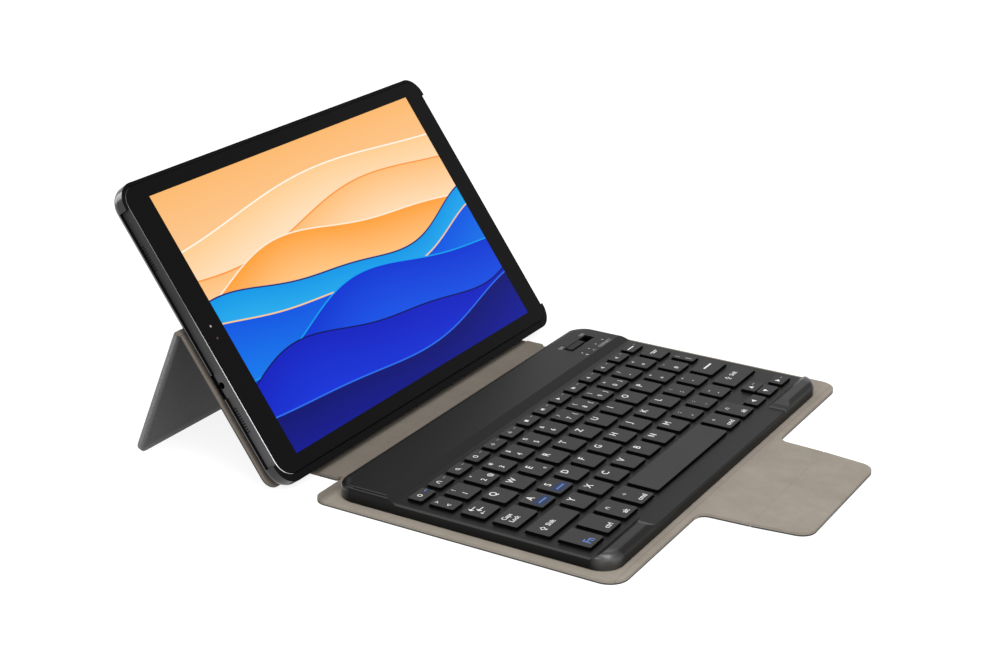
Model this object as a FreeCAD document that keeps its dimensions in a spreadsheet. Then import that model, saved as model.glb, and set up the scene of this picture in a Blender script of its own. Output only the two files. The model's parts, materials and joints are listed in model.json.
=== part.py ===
import FreeCAD, Part
import Sketcher
import math
import os
import re

# Tablet keyboard case: a folio cover with a tablet holder, the seated tablet and a thin keyboard.
# Millimetres. +X is to the typist's right, +Y away from the typist and +Z up.
# The origin is the centre of the front panel's underside, on the table.

doc = FreeCAD.newDocument("TabletKeyboardCase")
sheet = doc.addObject("Spreadsheet::Sheet", "Sizes")

# Driving sizes: name, value, meaning
DRIVING = [
    ("panel_width", 263.6, "front panel, side to side"),
    ("panel_depth", 162.0, "front panel, front to back"),
    ("panel_shift", 3.8, "front panel centre to the right of the keyboard's middle"),
    ("panel_corner", 10.0, "front corners of the front panel"),
    ("skin_thickness", 0.7, "outer grained skin"),
    ("skin_turn", 0.7, "skin turned round the edge of the kick panel"),
    ("board_thickness", 0.5, "stiffener board inside each panel"),
    ("lining_thickness", 0.8, "soft lining over the board"),
    ("board_margin", 5.0, "lining border around each board"),
    ("board_fit", 0.1, "room around a board in its pocket"),
    ("glue_thickness", 0.2, "glue between the holder and the cover"),
    ("spine_width", 206.0, "spine strip, side to side"),
    ("spine_corner", 2.0, "spine's corners beside the front fold band"),
    ("crease_gap", 2.0, "soft band between front panel and spine"),
    ("spine_end_gap", 1.4, "soft length of the spine's band before its axis"),
    ("back_axis_setback", 14.5, "back fold axis behind the front panel"),
    ("shell_setback", 18.8, "centre of the holder's lower edge behind the front panel"),
    ("rear_width", 260.4, "rear and kick panels, side to side"),
    ("rear_corner", 7.0, "corners of the rear and kick panels, and rear corners of the front panel"),
    ("rear_ear", 3.0, "rear panel below the fold, beside the spine"),
    ("ear_gap", 0.5, "between a rear ear and the back fold band"),
    ("fold_height", 83.4, "kick fold above the tablet's lower edge"),
    ("fold_radius", 1.0, "inner radius of the kick fold"),
    ("fold_clearance", 0.2, "gap between a rear panel's end and the fold"),
    ("kick_lean", 22.5, "kick panel from the vertical, degrees"),
    ("flap_offset", 3.2, "flap centre to the right of the keyboard's middle"),
    ("flap_neck_width", 95.5, "flap past its inner curves"),
    ("flap_flare", 5.5, "inner curve at the flap's root"),
    ("flap_crease_width", 92.6, "flap at its crease"),
    ("flap_tip_width", 85.6, "flap at its tip"),
    ("flap_strip_length", 25.0, "front panel's edge to the crease"),
    ("flap_tab_length", 28.3, "crease to tip"),
    ("flap_gap", 1.0, "soft band at each flap fold"),
    ("flap_corner", 8.0, "corner radius of the tip"),
    ("tablet_width", 258.0, "tablet, side to side"),
    ("tablet_height", 156.7, "tablet, lower to upper edge"),
    ("tablet_thickness", 8.1, "tablet, back to glass"),
    ("tablet_corner", 9.0, "tablet corner radius"),
    ("tablet_edge", 2.5, "rounding of the tablet's back edge"),
    ("frame_width", 0.6, "metal rim around the cover glass"),
    ("frame_bevel", 0.35, "polished bevel on that rim"),
    ("frame_drop", 0.1, "rim below the glass"),
    ("glass_thickness", 0.8, "cover glass"),
    ("glass_fit", 0.05, "room around the cover glass"),
    ("screen_width", 226.2, "lit area, side to side"),
    ("screen_height", 141.4, "lit area, lower to upper edge"),
    ("display_thickness", 1.2, "display under the glass"),
    ("display_fit", 0.2, "room around the display"),
    ("jack_radius", 1.75, "headphone jack in the tablet's left side"),
    ("jack_depth", 12.0, "headphone jack into the tablet"),
    ("jack_height", 53.2, "headphone jack above the tablet's lower edge"),
    ("jack_rise", 2.7, "headphone jack in front of the tablet's back"),
    ("jack_notch", 13.0, "gap in the holder's wall at the jack"),
    ("screen_lean", 35.8, "tablet from the vertical, degrees"),
    ("shell_wall", 1.8, "holder wall"),
    ("lower_wall", 3.7, "holder wall under the tablet's lower edge"),
    ("shell_edge", 5.4, "rounding of the holder's back edge"),
    ("tablet_fit", 0.3, "room around the tablet in the holder"),
    ("cap_length", 12.0, "corner caps of the holder"),
    ("cap_drop", 0.4, "corner caps below the glass"),
    ("side_wall_rise", 2.2, "holder's short side walls above its floor"),
    ("long_wall_drop", 0.6, "holder's long walls below the glass"),
    ("keyboard_width", 244.5, "keyboard, side to side"),
    ("keyboard_depth", 148.0, "keyboard, front to back"),
    ("keyboard_margin", 6.0, "front panel shown before the keyboard"),
    ("keyboard_corner", 11.0, "corner radius of the keyboard"),
    ("deck_height", 5.6, "key deck above the lining"),
    ("case_wall", 1.8, "side wall of the top case"),
    ("case_top", 1.4, "top wall of the top case"),
    ("case_lift", 0.3, "top case above the lining"),
    ("case_edge", 3.2, "rounding of the top case's raised edges"),
    ("deck_edge", 0.8, "bevel of the deck's outer edges"),
    ("bar_rise", 2.4, "rear bar and front bumps above the deck"),
    ("bar_depth", 33.6, "rear bar with its slope"),
    ("bar_slope", 5.0, "slope at the front of the rear bar"),
    ("bump_depth", 10.5, "front corner bumps, front to back"),
    ("bump_slope", 3.6, "slope at the rear of the bumps"),
    ("bump_length", 43.0, "front corner bumps, side to side"),
    ("bump_run", 3.0, "run of the bumps' inner ends for each millimetre of rise"),
    ("pad_length", 4.5, "low pad beside each bump"),
    ("pad_rise", 0.8, "low pads above the deck"),
    ("cover_thickness", 1.0, "bottom cover of the keyboard"),
    ("cover_fit", 0.2, "room around the bottom cover"),
    ("plate_thickness", 0.5, "key plate"),
    ("plate_margin", 1.5, "key plate around the key field"),
    ("membrane_thickness", 0.4, "dome membrane on the key plate"),
    ("membrane_gap", 0.1, "membrane under a pressed key"),
    ("rib_width", 2.0, "ribs of the bottom cover under the key plate"),
    ("field_width", 231.7, "key field, side to side"),
    ("field_setback", 38.1, "key field from the keyboard's rear edge"),
    ("key_width", 13.1, "ordinary key"),
    ("key_depth", 12.8, "ordinary key, front to back"),
    ("key_gap", 4.0, "between keys of a row"),
    ("row_gap", 4.1, "between rows"),
    ("function_depth", 7.5, "keys of the function row, front to back"),
    ("bottom_depth", 16.3, "keys of the bottom row, front to back"),
    ("tab_width", 14.7, "Tab key"),
    ("caps_width", 19.7, "Caps key"),
    ("shift_width", 28.8, "left Shift key"),
    ("arrow_width", 12.4, "arrow keys"),
    ("arrow_gap", 0.7, "between the up and down keys"),
    ("key_rise", 1.6, "key tops above the deck"),
    ("key_height", 2.5, "whole key"),
    ("key_travel", 1.5, "key stroke"),
    ("key_clearance", 0.4, "room around a key in the deck"),
    ("key_corner", 1.1, "corner radius of a key"),
    ("key_edge", 0.3, "rounding of a key's top edge"),
    ("knob_length", 15.0, "power switch knob"),
    ("knob_width", 4.0, "power switch knob, front to back"),
    ("knob_rise", 0.5, "knob above the rear bar"),
    ("knob_corner", 0.4, "corner radius of the knob"),
    ("switch_travel", 8.9, "power switch stroke"),
    ("slot_clearance", 0.9, "room around the knob"),
    ("switch_inset", 12.3, "slot's end from the keyboard's right side"),
    ("switch_setback", 15.0, "slot's centre from the rear edge"),
    ("switch_gap", 0.3, "knob above the switch body"),
    ("switch_length", 14.0, "switch body on the circuit board"),
    ("switch_width", 6.0, "switch body, front to back"),
    ("light_radius", 0.6, "indicator lights"),
    ("light_fit", 0.05, "room around an indicator light"),
    ("light_pitch", 8.0, "between indicator lights"),
    ("light_setback", 23.4, "indicator lights from the rear edge"),
    ("battery_length", 110.0, "battery cell"),
    ("battery_depth", 16.0, "battery cell and circuit board, front to back"),
    ("battery_height", 4.2, "battery cell"),
    ("battery_inset", 20.0, "battery from the keyboard's left side"),
    ("bay_setback", 16.4, "middle of battery and circuit board from the rear edge"),
    ("circuit_length", 96.0, "circuit board"),
    ("circuit_thickness", 1.2, "circuit board"),
    ("circuit_gap", 8.0, "between the battery and the circuit board"),
    ("port_width", 8.0, "charging port, front to back"),
    ("port_height", 2.8, "charging port"),
    ("port_length", 6.0, "charging port into the case"),
    ("port_recess", 0.5, "port's mouth inside the case wall"),
    ("port_fit", 0.3, "room around the charging port"),
    ("magnet_length", 80.0, "holding magnets under the keyboard"),
    ("magnet_width", 8.0, "holding magnets, front to back"),
    ("magnet_inset", 6.0, "magnets from the key field's front and rear edges"),
    ("tab_magnet_length", 18.0, "magnets of the flap"),
    ("tab_magnet_width", 10.0, "magnets of the flap, front to back"),
    ("tab_magnet_spread", 44.0, "between the flap magnets' centres"),
    ("screw_radius", 0.9, "cover screws"),
    ("screw_head_radius", 1.8, "heads of the cover screws"),
    ("screw_head_height", 0.6, "heads of the cover screws"),
    ("screw_fit", 0.1, "room around the cover screws"),
    ("screw_inset", 5.0, "cover screws from the keyboard's edges"),
    ("boss_radius", 2.2, "screw bosses of the top case"),
]

# Sizes and places that follow from the driving sizes
DERIVED = [
    ("panel_thickness", "skin_thickness + board_thickness + lining_thickness"),
    ("band_thickness", "skin_thickness + lining_thickness"),
    ("panel_front", "-panel_depth / 2"),
    ("panel_rear", "panel_depth / 2"),
    ("spine_front", "panel_rear + crease_gap"),
    ("back_axis_y", "panel_rear + back_axis_setback"),
    ("spine_rear", "back_axis_y - spine_end_gap"),
    ("shell_y", "panel_rear + shell_setback"),
    ("wrap_radius", "shell_edge + glue_thickness"),
    ("shell_z", "wrap_radius + band_thickness"),
    ("shell_width", "tablet_width + 2 * (shell_wall + tablet_fit)"),
    ("shell_height", "tablet_height + 2 * tablet_fit + shell_wall + lower_wall"),
    ("shell_low", "-shell_edge"),
    ("shell_high", "shell_height - shell_edge"),
    ("tablet_low", "shell_low + lower_wall + tablet_fit"),
    ("tray_floor", "-shell_edge + shell_wall"),
    ("glass_front", "tray_floor + tablet_thickness"),
    ("rear_inner", "-wrap_radius"),
    ("rear_outer", "rear_inner - panel_thickness"),
    ("fold_v", "tablet_low + fold_height"),
    ("fold_w", "rear_outer - fold_radius"),
    ("fold_y", "shell_y + fold_v * sin(screen_lean) - fold_w * cos(screen_lean)"),
    ("fold_z", "shell_z + fold_v * cos(screen_lean) + fold_w * sin(screen_lean)"),
    ("fold_sweep", "180 - screen_lean - kick_lean"),
    ("kick_length", "(fold_z + fold_radius * sin(kick_lean)) / cos(kick_lean)"),
    ("keyboard_front", "panel_front + keyboard_margin"),
    ("keyboard_rear", "keyboard_front + keyboard_depth"),
    ("deck_z", "panel_thickness + deck_height"),
    ("bar_z", "deck_z + bar_rise"),
    ("bar_front", "keyboard_rear - bar_depth"),
    ("cover_z", "panel_thickness + cover_thickness"),
    ("field_rear", "keyboard_rear - field_setback"),
    ("function_width", "(field_width + key_gap) / 14 - key_gap"),
    ("first_width", "field_width - 13 * (key_width + key_gap)"),
    ("last_width", "field_width - tab_width - 12 * (key_width + key_gap) - key_gap"),
    ("enter_width", "field_width - caps_width - 11 * (key_width + key_gap) - key_gap"),
    ("right_shift_width", "field_width - shift_width - 10 * (key_width + key_gap) - key_gap"),
    ("space_width", "field_width - 6 * (key_width + key_gap) - 3 * (arrow_width + key_gap)"),
    ("arrow_depth", "(bottom_depth - arrow_gap) / 2"),
    ("field_depth", "function_depth + 4 * key_depth + bottom_depth + 5 * row_gap"),
    ("field_front", "field_rear - field_depth"),
    ("key_low", "deck_z + key_rise - key_height"),
    ("membrane_z", "key_low - key_travel - membrane_gap"),
    ("plate_top", "membrane_z - membrane_thickness"),
    ("plate_low", "plate_top - plate_thickness"),
    ("slot_length", "knob_length + switch_travel + 2 * slot_clearance"),
    ("slot_width", "knob_width + 2 * slot_clearance"),
    ("slot_left", "keyboard_width / 2 - switch_inset - slot_length"),
    ("slot_y", "keyboard_rear - switch_setback"),
    ("circuit_z", "cover_z + circuit_thickness"),
    ("switch_top", "bar_z - case_top - switch_gap"),
    ("battery_left", "-keyboard_width / 2 + battery_inset"),
    ("circuit_left", "battery_left + battery_length + circuit_gap"),
    ("bay_y", "keyboard_rear - bay_setback"),
    ("screw_length", "deck_z - case_top - panel_thickness - screw_head_height - 2 * screw_fit"),
    ("flare_reach", "sqrt(flap_flare ^ 2 - (flap_flare - flap_gap) ^ 2)"),
    ("flare_rest", "flap_flare - flare_reach"),
    ("flare_drop", "flare_rest * flare_reach / (flap_flare - flap_gap)"),
    ("tab_magnet_y", "panel_front - flap_strip_length - flap_tab_length * 0.6"),
]


def fill_sheet():
    """Write the driving sizes as numbers and the derived ones as formulas."""
    row = 0
    for name, value, meaning in DRIVING:
        row += 1
        sheet.set("A%d" % row, name)
        sheet.set("B%d" % row, str(value))
        sheet.set("C%d" % row, meaning)
        sheet.setAlias("B%d" % row, name)
    for name, text in DERIVED:
        row += 1
        sheet.set("A%d" % row, name)
        sheet.set("B%d" % row, "=" + text)
        sheet.setAlias("B%d" % row, name)
    doc.recompute()


fill_sheet()
NAMES = [entry[0] for entry in DRIVING] + [entry[0] for entry in DERIVED]
SIZE = {name: float(sheet.get(name)) for name in NAMES}


def formula(text):
    """A formula on the sheet's names, written as an expression of the document."""
    return re.sub(r"[a-z_]+[a-z]", lambda word: "Sizes." + word[0] if word[0] in SIZE else word[0], text)


def bind(thing, **properties):
    """Tie properties of a document object to formulas on the sheet."""
    for name, text in properties.items():
        thing.setExpression(name, formula(text))


def bind_place(thing, x, y, z):
    """Tie the position of a document object to formulas on the sheet."""
    for axis, text in zip("xyz", (x, y, z)):
        thing.setExpression("Placement.Base." + axis, formula(text))


def turned(angle, y, z):
    """A frame turned about X by an angle in degrees, with its origin at (0, y, z)."""
    rotation = FreeCAD.Rotation(FreeCAD.Vector(1, 0, 0), angle)
    return FreeCAD.Placement(FreeCAD.Vector(0, y, z), rotation)


# Local Y runs up the screen and local Z out of it; the origin is the centre of the lower back edge.
HOLDER = turned(90 - SIZE["screen_lean"], SIZE["shell_y"], SIZE["shell_z"])
# Local Y runs from the fold to the foot and local Z from the skin to the lining; the origin is the fold axis.
KICK = turned(SIZE["kick_lean"] - 90, SIZE["fold_y"], SIZE["fold_z"])
TABLE = FreeCAD.Placement()

parts = {}


def keep(label, thing, frame=TABLE):
    """Name a finished sub-part and put it in its frame."""
    thing.Label = label
    if not frame.isIdentity():
        thing.Placement = frame
    parts[label] = thing
    return thing


def polygon_sketch(body, name, corners, height="0"):
    """A closed outline on the body's XY plane, its corners tied to formulas (x, y, radius)."""
    plane = [feature for feature in body.Origin.OriginFeatures if feature.Role == "XY_Plane"][0]
    sketch = body.newObject("Sketcher::SketchObject", name)
    sketch.AttachmentSupport = [(plane, "")]
    sketch.MapMode = "FlatFace"
    sketch.setExpression("AttachmentOffset.Base.z", formula(height))
    count = len(corners)
    ring = [FreeCAD.Vector(math.cos(2 * math.pi * i / count), math.sin(2 * math.pi * i / count), 0)
            for i in range(count)]
    for i in range(count):
        sketch.addGeometry(Part.LineSegment(ring[i], ring[(i + 1) % count]), False)
    for i in range(count):
        sketch.addConstraint(Sketcher.Constraint("Coincident", i, 2, (i + 1) % count, 1))
    for i, corner in enumerate(corners):
        for kind, text, start in zip(("DistanceX", "DistanceY"), corner, ring[i]):
            constraint = sketch.addConstraint(Sketcher.Constraint(kind, -1, 1, i, 1, start))
            sketch.setExpression("Constraints[%d]" % constraint, formula(text))
    return sketch


def pad(body, name, corners, length, height="0"):
    """Add material over an outline, upward from a height."""
    sketch = polygon_sketch(body, name + "_outline", corners, height)
    feature = body.newObject("PartDesign::Pad", name)
    feature.Profile = sketch
    bind(feature, Length=length)
    doc.recompute()
    return sketch


def pocket(body, name, corners, length, height="0"):
    """Cut an outline upward from a height, and make sure that it cut."""
    before = body.Shape.Volume
    sketch = polygon_sketch(body, name + "_outline", corners, height)
    feature = body.newObject("PartDesign::Pocket", name)
    feature.Profile = sketch
    feature.Reversed = True
    bind(feature, Length=length)
    doc.recompute()
    if body.Shape.Volume >= before:
        raise RuntimeError(name + " cut nothing")
    return sketch


def round_edges(body, name, chosen, radius):
    """Round the body's edges that a test on (edge, box) picks."""
    base = body.Tip
    edges = ["Edge%d" % number for number, edge in enumerate(base.Shape.Edges, 1)
             if chosen(edge, edge.BoundBox)]
    feature = body.newObject("PartDesign::Fillet", name)
    feature.Base = (base, edges)
    bind(feature, Radius=radius)
    doc.recompute()
    return feature


NEAR = 1e-4


def round_corners(body, sketch, corners):
    """Round the upright edges that stand on the outline's corners, one feature for each radius."""
    for radius in dict.fromkeys(corner[2] for corner in corners if corner[2]):
        points = [sketch.getPoint(i, 1) for i, corner in enumerate(corners) if corner[2] == radius]

        def on_corner(edge, box):
            upright = box.ZLength > NEAR and box.XLength < NEAR and box.YLength < NEAR
            return upright and any(math.hypot(box.XMin - point.x, box.YMin - point.y) < NEAR
                                   for point in points)

        round_edges(body, body.Name + "_corner", on_corner, radius)


def rectangle(half_width, low, high, low_radius="", high_radius="", middle="0"):
    """Corners of a rectangle about a middle line, with a radius for its low and high corners."""
    left = "%s - (%s)" % (middle, half_width)
    right = "%s + (%s)" % (middle, half_width)
    return [(left, low, low_radius), (right, low, low_radius),
            (right, high, high_radius), (left, high, high_radius)]


def new_body(label):
    body = doc.addObject("PartDesign::Body", label)
    body.Label = label
    return body


def rounded_block(label, corners, thickness, height="0"):
    """A flat solid with a rounded outline."""
    body = new_body(label)
    sketch = pad(body, label + "_pad", corners, thickness, height)
    round_corners(body, sketch, corners)
    return body


def plate(label, corners, thickness, frame=TABLE, height="0", openings=()):
    """A flat sub-part with a rounded outline, and openings through it."""
    body = rounded_block(label, corners, thickness, height)
    for number, opening in enumerate(openings):
        pocket(body, "%s_opening%d" % (label, number), opening, thickness, height)
    return keep(label, body, frame)


def lining(label, corners, board, frame, height):
    """A lining with a pocket for its board underneath."""
    body = rounded_block(label, corners, "board_thickness + lining_thickness", height)
    if board:
        pocket(body, label + "_seat", board, "board_thickness", height)
    return keep(label, body, frame)


def laminate(name, outline, board, frame=TABLE, height="0", openings=()):
    """Skin, stiffener board and lining of one panel, from the outside in."""
    plate(name + "_skin", outline, "skin_thickness", frame, height)
    inside = height + " + skin_thickness"
    lining(name + "_lining", outline, grown(board, "board_fit"), frame, inside)
    plate(name + "_board", board, "board_thickness", frame, inside, openings)


def grown(corners, margin):
    """A rectangle's corners moved outward by a margin, with square corners."""
    signs = [("-", "-"), ("+", "-"), ("+", "+"), ("-", "+")]
    return [("%s %s %s" % (x, sign_x, margin), "%s %s %s" % (y, sign_y, margin), "")
            for (x, y, radius), (sign_x, sign_y) in zip(corners, signs)]


def box(name, length, width, height, x, y, z):
    """A box tied to the sheet."""
    thing = doc.addObject("Part::Box", name)
    bind(thing, Length=length, Width=width, Height=height)
    bind_place(thing, x, y, z)
    return thing


def cylinder(name, radius, height, x, y, z):
    """An upright cylinder tied to the sheet."""
    thing = doc.addObject("Part::Cylinder", name)
    bind(thing, Radius=radius, Height=height)
    bind_place(thing, x, y, z)
    return thing


def cut(name, base, tool):
    thing = doc.addObject("Part::Cut", name)
    thing.Base = base
    thing.Tool = tool
    return thing


def together(name, things, kind="Part::MultiFuse"):
    """Several solids joined into one, or kept as a group of separate ones."""
    thing = doc.addObject(kind, name)
    if kind == "Part::MultiFuse":
        thing.Shapes = things
    else:
        thing.Links = things
    return thing


def rounded_box(name, base, corner, edge):
    """A box with rounded upright edges and softly rounded top edges."""
    doc.recompute()
    thing = doc.addObject("Part::Fillet", name)
    thing.Base = base
    top = base.Shape.BoundBox.ZMax
    chosen = []
    for number, line in enumerate(base.Shape.Edges, 1):
        if line.BoundBox.ZLength > NEAR:
            chosen.append((number, SIZE[corner], SIZE[corner]))
        elif line.BoundBox.ZMin > top - NEAR:
            chosen.append((number, SIZE[edge], SIZE[edge]))
    thing.Edges = chosen
    return thing


def lying_cylinder(name, radius, length, x, y="0", z="0", sweep="360"):
    """A cylinder along X, or a sector of one that starts at +Y and turns towards +Z."""
    thing = doc.addObject("Part::Cylinder", name)
    bind(thing, Radius=radius, Height=length, Angle=sweep)
    thing.Placement.Rotation = FreeCAD.Rotation(FreeCAD.Vector(0, 1, 0), FreeCAD.Vector(0, 0, 1),
                                                FreeCAD.Vector(1, 0, 0), "ZXY")
    bind_place(thing, x, y, z)
    return thing


def tube_sector(name, inner, outer, length, sweep):
    """Part of a round sleeve along X, centred on the origin."""
    left = "-(%s) / 2" % length
    return cut(name, lying_cylinder(name + "_outer", outer, length, left, sweep=sweep),
               lying_cylinder(name + "_inner", inner, length, left, sweep=sweep))


def front_panel():
    outline = rectangle("panel_width / 2", "panel_front", "panel_rear", "panel_corner", "rear_corner",
                        "panel_shift")
    board = rectangle("panel_width / 2 - board_margin", "panel_front + board_margin",
                      "panel_rear - board_margin", middle="panel_shift")
    seats = [magnet_outline(side, "board_fit") for side in MAGNET_SIDES]
    laminate("front", outline, board, openings=seats)
    magnets = [magnet("panel_magnet%d" % number, side, "skin_thickness", "board_thickness")
               for number, side in enumerate(MAGNET_SIDES)]
    keep("panel_magnets", together("panel_magnet_group", magnets, "Part::Compound"))


# Lower edges of the front and rear holding magnets
MAGNET_SIDES = ("field_front + magnet_inset", "field_rear - magnet_inset - magnet_width")


def magnet_outline(low, margin):
    high = low + " + magnet_width + " + margin
    return rectangle("magnet_length / 2 + " + margin, low + " - " + margin, high)


def magnet(name, low, z, height):
    return box(name, "magnet_length", "magnet_width", height, "-magnet_length / 2", low, z)


def spine():
    band = rectangle("spine_width / 2 - spine_corner", "panel_rear", "spine_front")
    plate("front_fold_band", band, "band_thickness")
    outline = rectangle("spine_width / 2", "spine_front", "spine_rear", "spine_corner")
    board = rectangle("spine_width / 2 - board_margin", "spine_front + spine_end_gap",
                      "spine_rear - spine_end_gap")
    laminate("spine", outline, board)


def back_fold_band():
    """Soft band from the spine along the table and round the holder's lower back edge."""
    flat = box("back_fold_flat", "spine_width", "shell_y - spine_rear", "band_thickness",
               "-spine_width / 2", "spine_rear", "0")
    bend = tube_sector("back_fold_bend", "wrap_radius", "wrap_radius + band_thickness", "spine_width",
                       "90 - screen_lean")
    bend.Placement = turned(-90, SIZE["shell_y"], SIZE["shell_z"])
    keep("back_fold_band", together("back_fold_join", [flat, bend]))


def slab(label, corners, thickness, height, back_radius, front_radius=None):
    """A thick plate with a rounded outline, a rounded back edge and maybe a rounded front edge."""
    body = rounded_block(label, corners, thickness, height)
    back = body.Shape.BoundBox.ZMin
    front = body.Shape.BoundBox.ZMax
    round_edges(body, label + "_back_edge", lambda edge, limits: limits.ZMax < back + NEAR, back_radius)
    if front_radius:
        round_edges(body, label + "_front_edge", lambda edge, limits: limits.ZMin > front - NEAR, front_radius)
    return body


def holder_shell():
    """Moulded tray: caps at the corners, long walls a little lower, low walls at the short sides."""
    corner = "tablet_corner + tablet_fit"
    outer = rectangle("shell_width / 2", "shell_low", "shell_high", *[corner + " + shell_wall"] * 2)
    block = slab("shell_block", outer, "glass_front - cap_drop - shell_low", "shell_low", "shell_edge")
    inner = rectangle("tablet_width / 2 + tablet_fit", "tablet_low - tablet_fit",
                      "tablet_low + tablet_height + tablet_fit", corner, corner)
    tray = slab("shell_tray", inner, "tablet_thickness", "tray_floor", "tablet_edge")
    sides = box("shell_side_cut", "shell_width + 2 * shell_wall", "shell_height - 2 * cap_length",
                "tablet_thickness", "-shell_width / 2 - shell_wall", "shell_low + cap_length",
                "tray_floor + side_wall_rise")
    longs = box("shell_long_cut", "shell_width - 2 * cap_length", "shell_height + 2 * shell_wall",
                "tablet_thickness", "-shell_width / 2 + cap_length", "shell_low - shell_wall",
                "glass_front - long_wall_drop")
    notch = box("shell_jack_cut", "3 * shell_wall", "jack_notch", "tablet_thickness",
                "-shell_width / 2 - shell_wall", "tablet_low + jack_height - jack_notch / 2", "tray_floor")
    cutters = together("shell_cutters", [tray, sides, longs, notch])
    keep("holder_shell", cut("shell_hollow", block, cutters), HOLDER)


def rear_panel():
    side = "rear_width / 2"
    notch = "spine_width / 2 + ear_gap"
    top = "fold_v - fold_clearance"
    outline = [("-" + side, "-rear_ear", "rear_corner"), ("-(%s)" % notch, "-rear_ear", ""),
               ("-(%s)" % notch, "0", ""), (notch, "0", ""), (notch, "-rear_ear", ""),
               (side, "-rear_ear", "rear_corner"), (side, top, ""), ("-" + side, top, "")]
    board = rectangle("rear_width / 2 - board_margin", "board_margin",
                      "fold_v - fold_clearance - board_margin")
    laminate("rear", outline, board, HOLDER, "rear_outer")
    glue = rectangle("rear_width / 2 - board_margin", "board_margin", "fold_v - board_margin")
    plate("rear_glue", glue, "glue_thickness", HOLDER, "rear_inner")


def kick_panel():
    sector = tube_sector("kick_fold_sector", "fold_radius", "fold_radius + panel_thickness", "rear_width",
                         "fold_sweep")
    keep("kick_fold_band", sector, turned(SIZE["kick_lean"], SIZE["fold_y"], SIZE["fold_z"]))
    outline = rectangle("rear_width / 2", "fold_clearance", "kick_length", "", "rear_corner")
    inside = rectangle("rear_width / 2 - skin_turn", "fold_clearance", "kick_length - skin_turn", "",
                       "rear_corner - skin_turn")
    inner_face = "fold_radius + skin_thickness"
    skin = cut("kick_skin_tray", rounded_block("kick_skin_block", outline, "panel_thickness", "fold_radius"),
               rounded_block("kick_skin_hollow", inside, "panel_thickness", inner_face))
    keep("kick_skin", skin, KICK)
    board = rectangle("rear_width / 2 - board_margin", "fold_clearance + board_margin",
                      "kick_length - board_margin")
    lining("kick_lining", inside, grown(board, "board_fit"), KICK, inner_face)
    low = "kick_length - board_margin - tab_magnet_width"
    seats = [rectangle("tab_magnet_length / 2 + board_fit", low + " - board_fit",
                       low + " + tab_magnet_width - 2 * board_fit", middle=middle)
             for middle in TAB_MAGNET_PLACES]
    plate("kick_board", board, "board_thickness", KICK, inner_face, seats)
    magnets = [box("kick_magnet%d" % number, "tab_magnet_length", "tab_magnet_width - 3 * board_fit",
                   "board_thickness", middle + " - tab_magnet_length / 2", low, inner_face)
               for number, middle in enumerate(TAB_MAGNET_PLACES)]
    keep("kick_magnets", together("kick_magnet_group", magnets, "Part::Compound"), KICK)


# Middle of each flap magnet, and of the kick panel magnet that it meets
TAB_MAGNET_PLACES = ("flap_offset - tab_magnet_spread / 2", "flap_offset + tab_magnet_spread / 2")


def flap():
    root = "panel_front - flap_gap"
    shoulder = root + " - flare_drop"
    crease = "panel_front - flap_strip_length"
    crease_low = crease + " - flap_gap / 2"
    crease_high = crease + " + flap_gap / 2"
    tip = crease + " - flap_tab_length"
    half = {"panel": "flap_neck_width / 2 + flap_flare", "root": "flap_neck_width / 2 + flare_rest",
            "neck": "flap_neck_width / 2", "crease": "flap_crease_width / 2", "tip": "flap_tip_width / 2"}
    left = {place: "flap_offset - (%s)" % width for place, width in half.items()}
    right = {place: "flap_offset + " + width for place, width in half.items()}
    root_band = [(left["panel"], "panel_front", ""), (left["root"], root, ""), (right["root"], root, ""),
                 (right["panel"], "panel_front", "")]
    plate("flap_root_band", root_band, "band_thickness")
    # The curve's radius stays just inside its two tangents, so that it ends on them
    curve = "flap_flare * 0.9"
    strip = [(left["root"], root, ""), (left["neck"], shoulder, curve), (left["crease"], crease_high, ""),
             (right["crease"], crease_high, ""), (right["neck"], shoulder, curve), (right["root"], root, "")]
    tip_band = [(left["crease"], crease_high, ""), (left["crease"], crease_low, ""),
                (right["crease"], crease_low, ""), (right["crease"], crease_high, "")]
    tab = [(left["crease"], crease_low, ""), (left["tip"], tip, "flap_corner"), (right["tip"], tip, "flap_corner"),
           (right["crease"], crease_low, "")]
    seat = [rectangle("tab_magnet_length / 2 + board_fit", "tab_magnet_y - tab_magnet_width / 2 - board_fit",
                      "tab_magnet_y + tab_magnet_width / 2 + board_fit", middle=middle)
            for middle in TAB_MAGNET_PLACES]
    plate("strip_skin", strip, "skin_thickness")
    lining("strip_lining", strip, None, TABLE, "skin_thickness")
    plate("flap_tip_band", tip_band, "band_thickness")
    plate("tab_skin", tab, "skin_thickness")
    tab_lining = lining("tab_lining", tab, seat[0], TABLE, "skin_thickness")
    pocket(tab_lining, "tab_lining_second_seat", seat[1], "board_thickness", "skin_thickness")
    magnets = [box("tab_magnet%d" % number, "tab_magnet_length", "tab_magnet_width", "board_thickness",
                   middle + " - tab_magnet_length / 2", "tab_magnet_y - tab_magnet_width / 2", "skin_thickness")
               for number, middle in enumerate(TAB_MAGNET_PLACES)]
    keep("tab_magnets", together("tab_magnet_group", magnets, "Part::Compound"))


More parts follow.
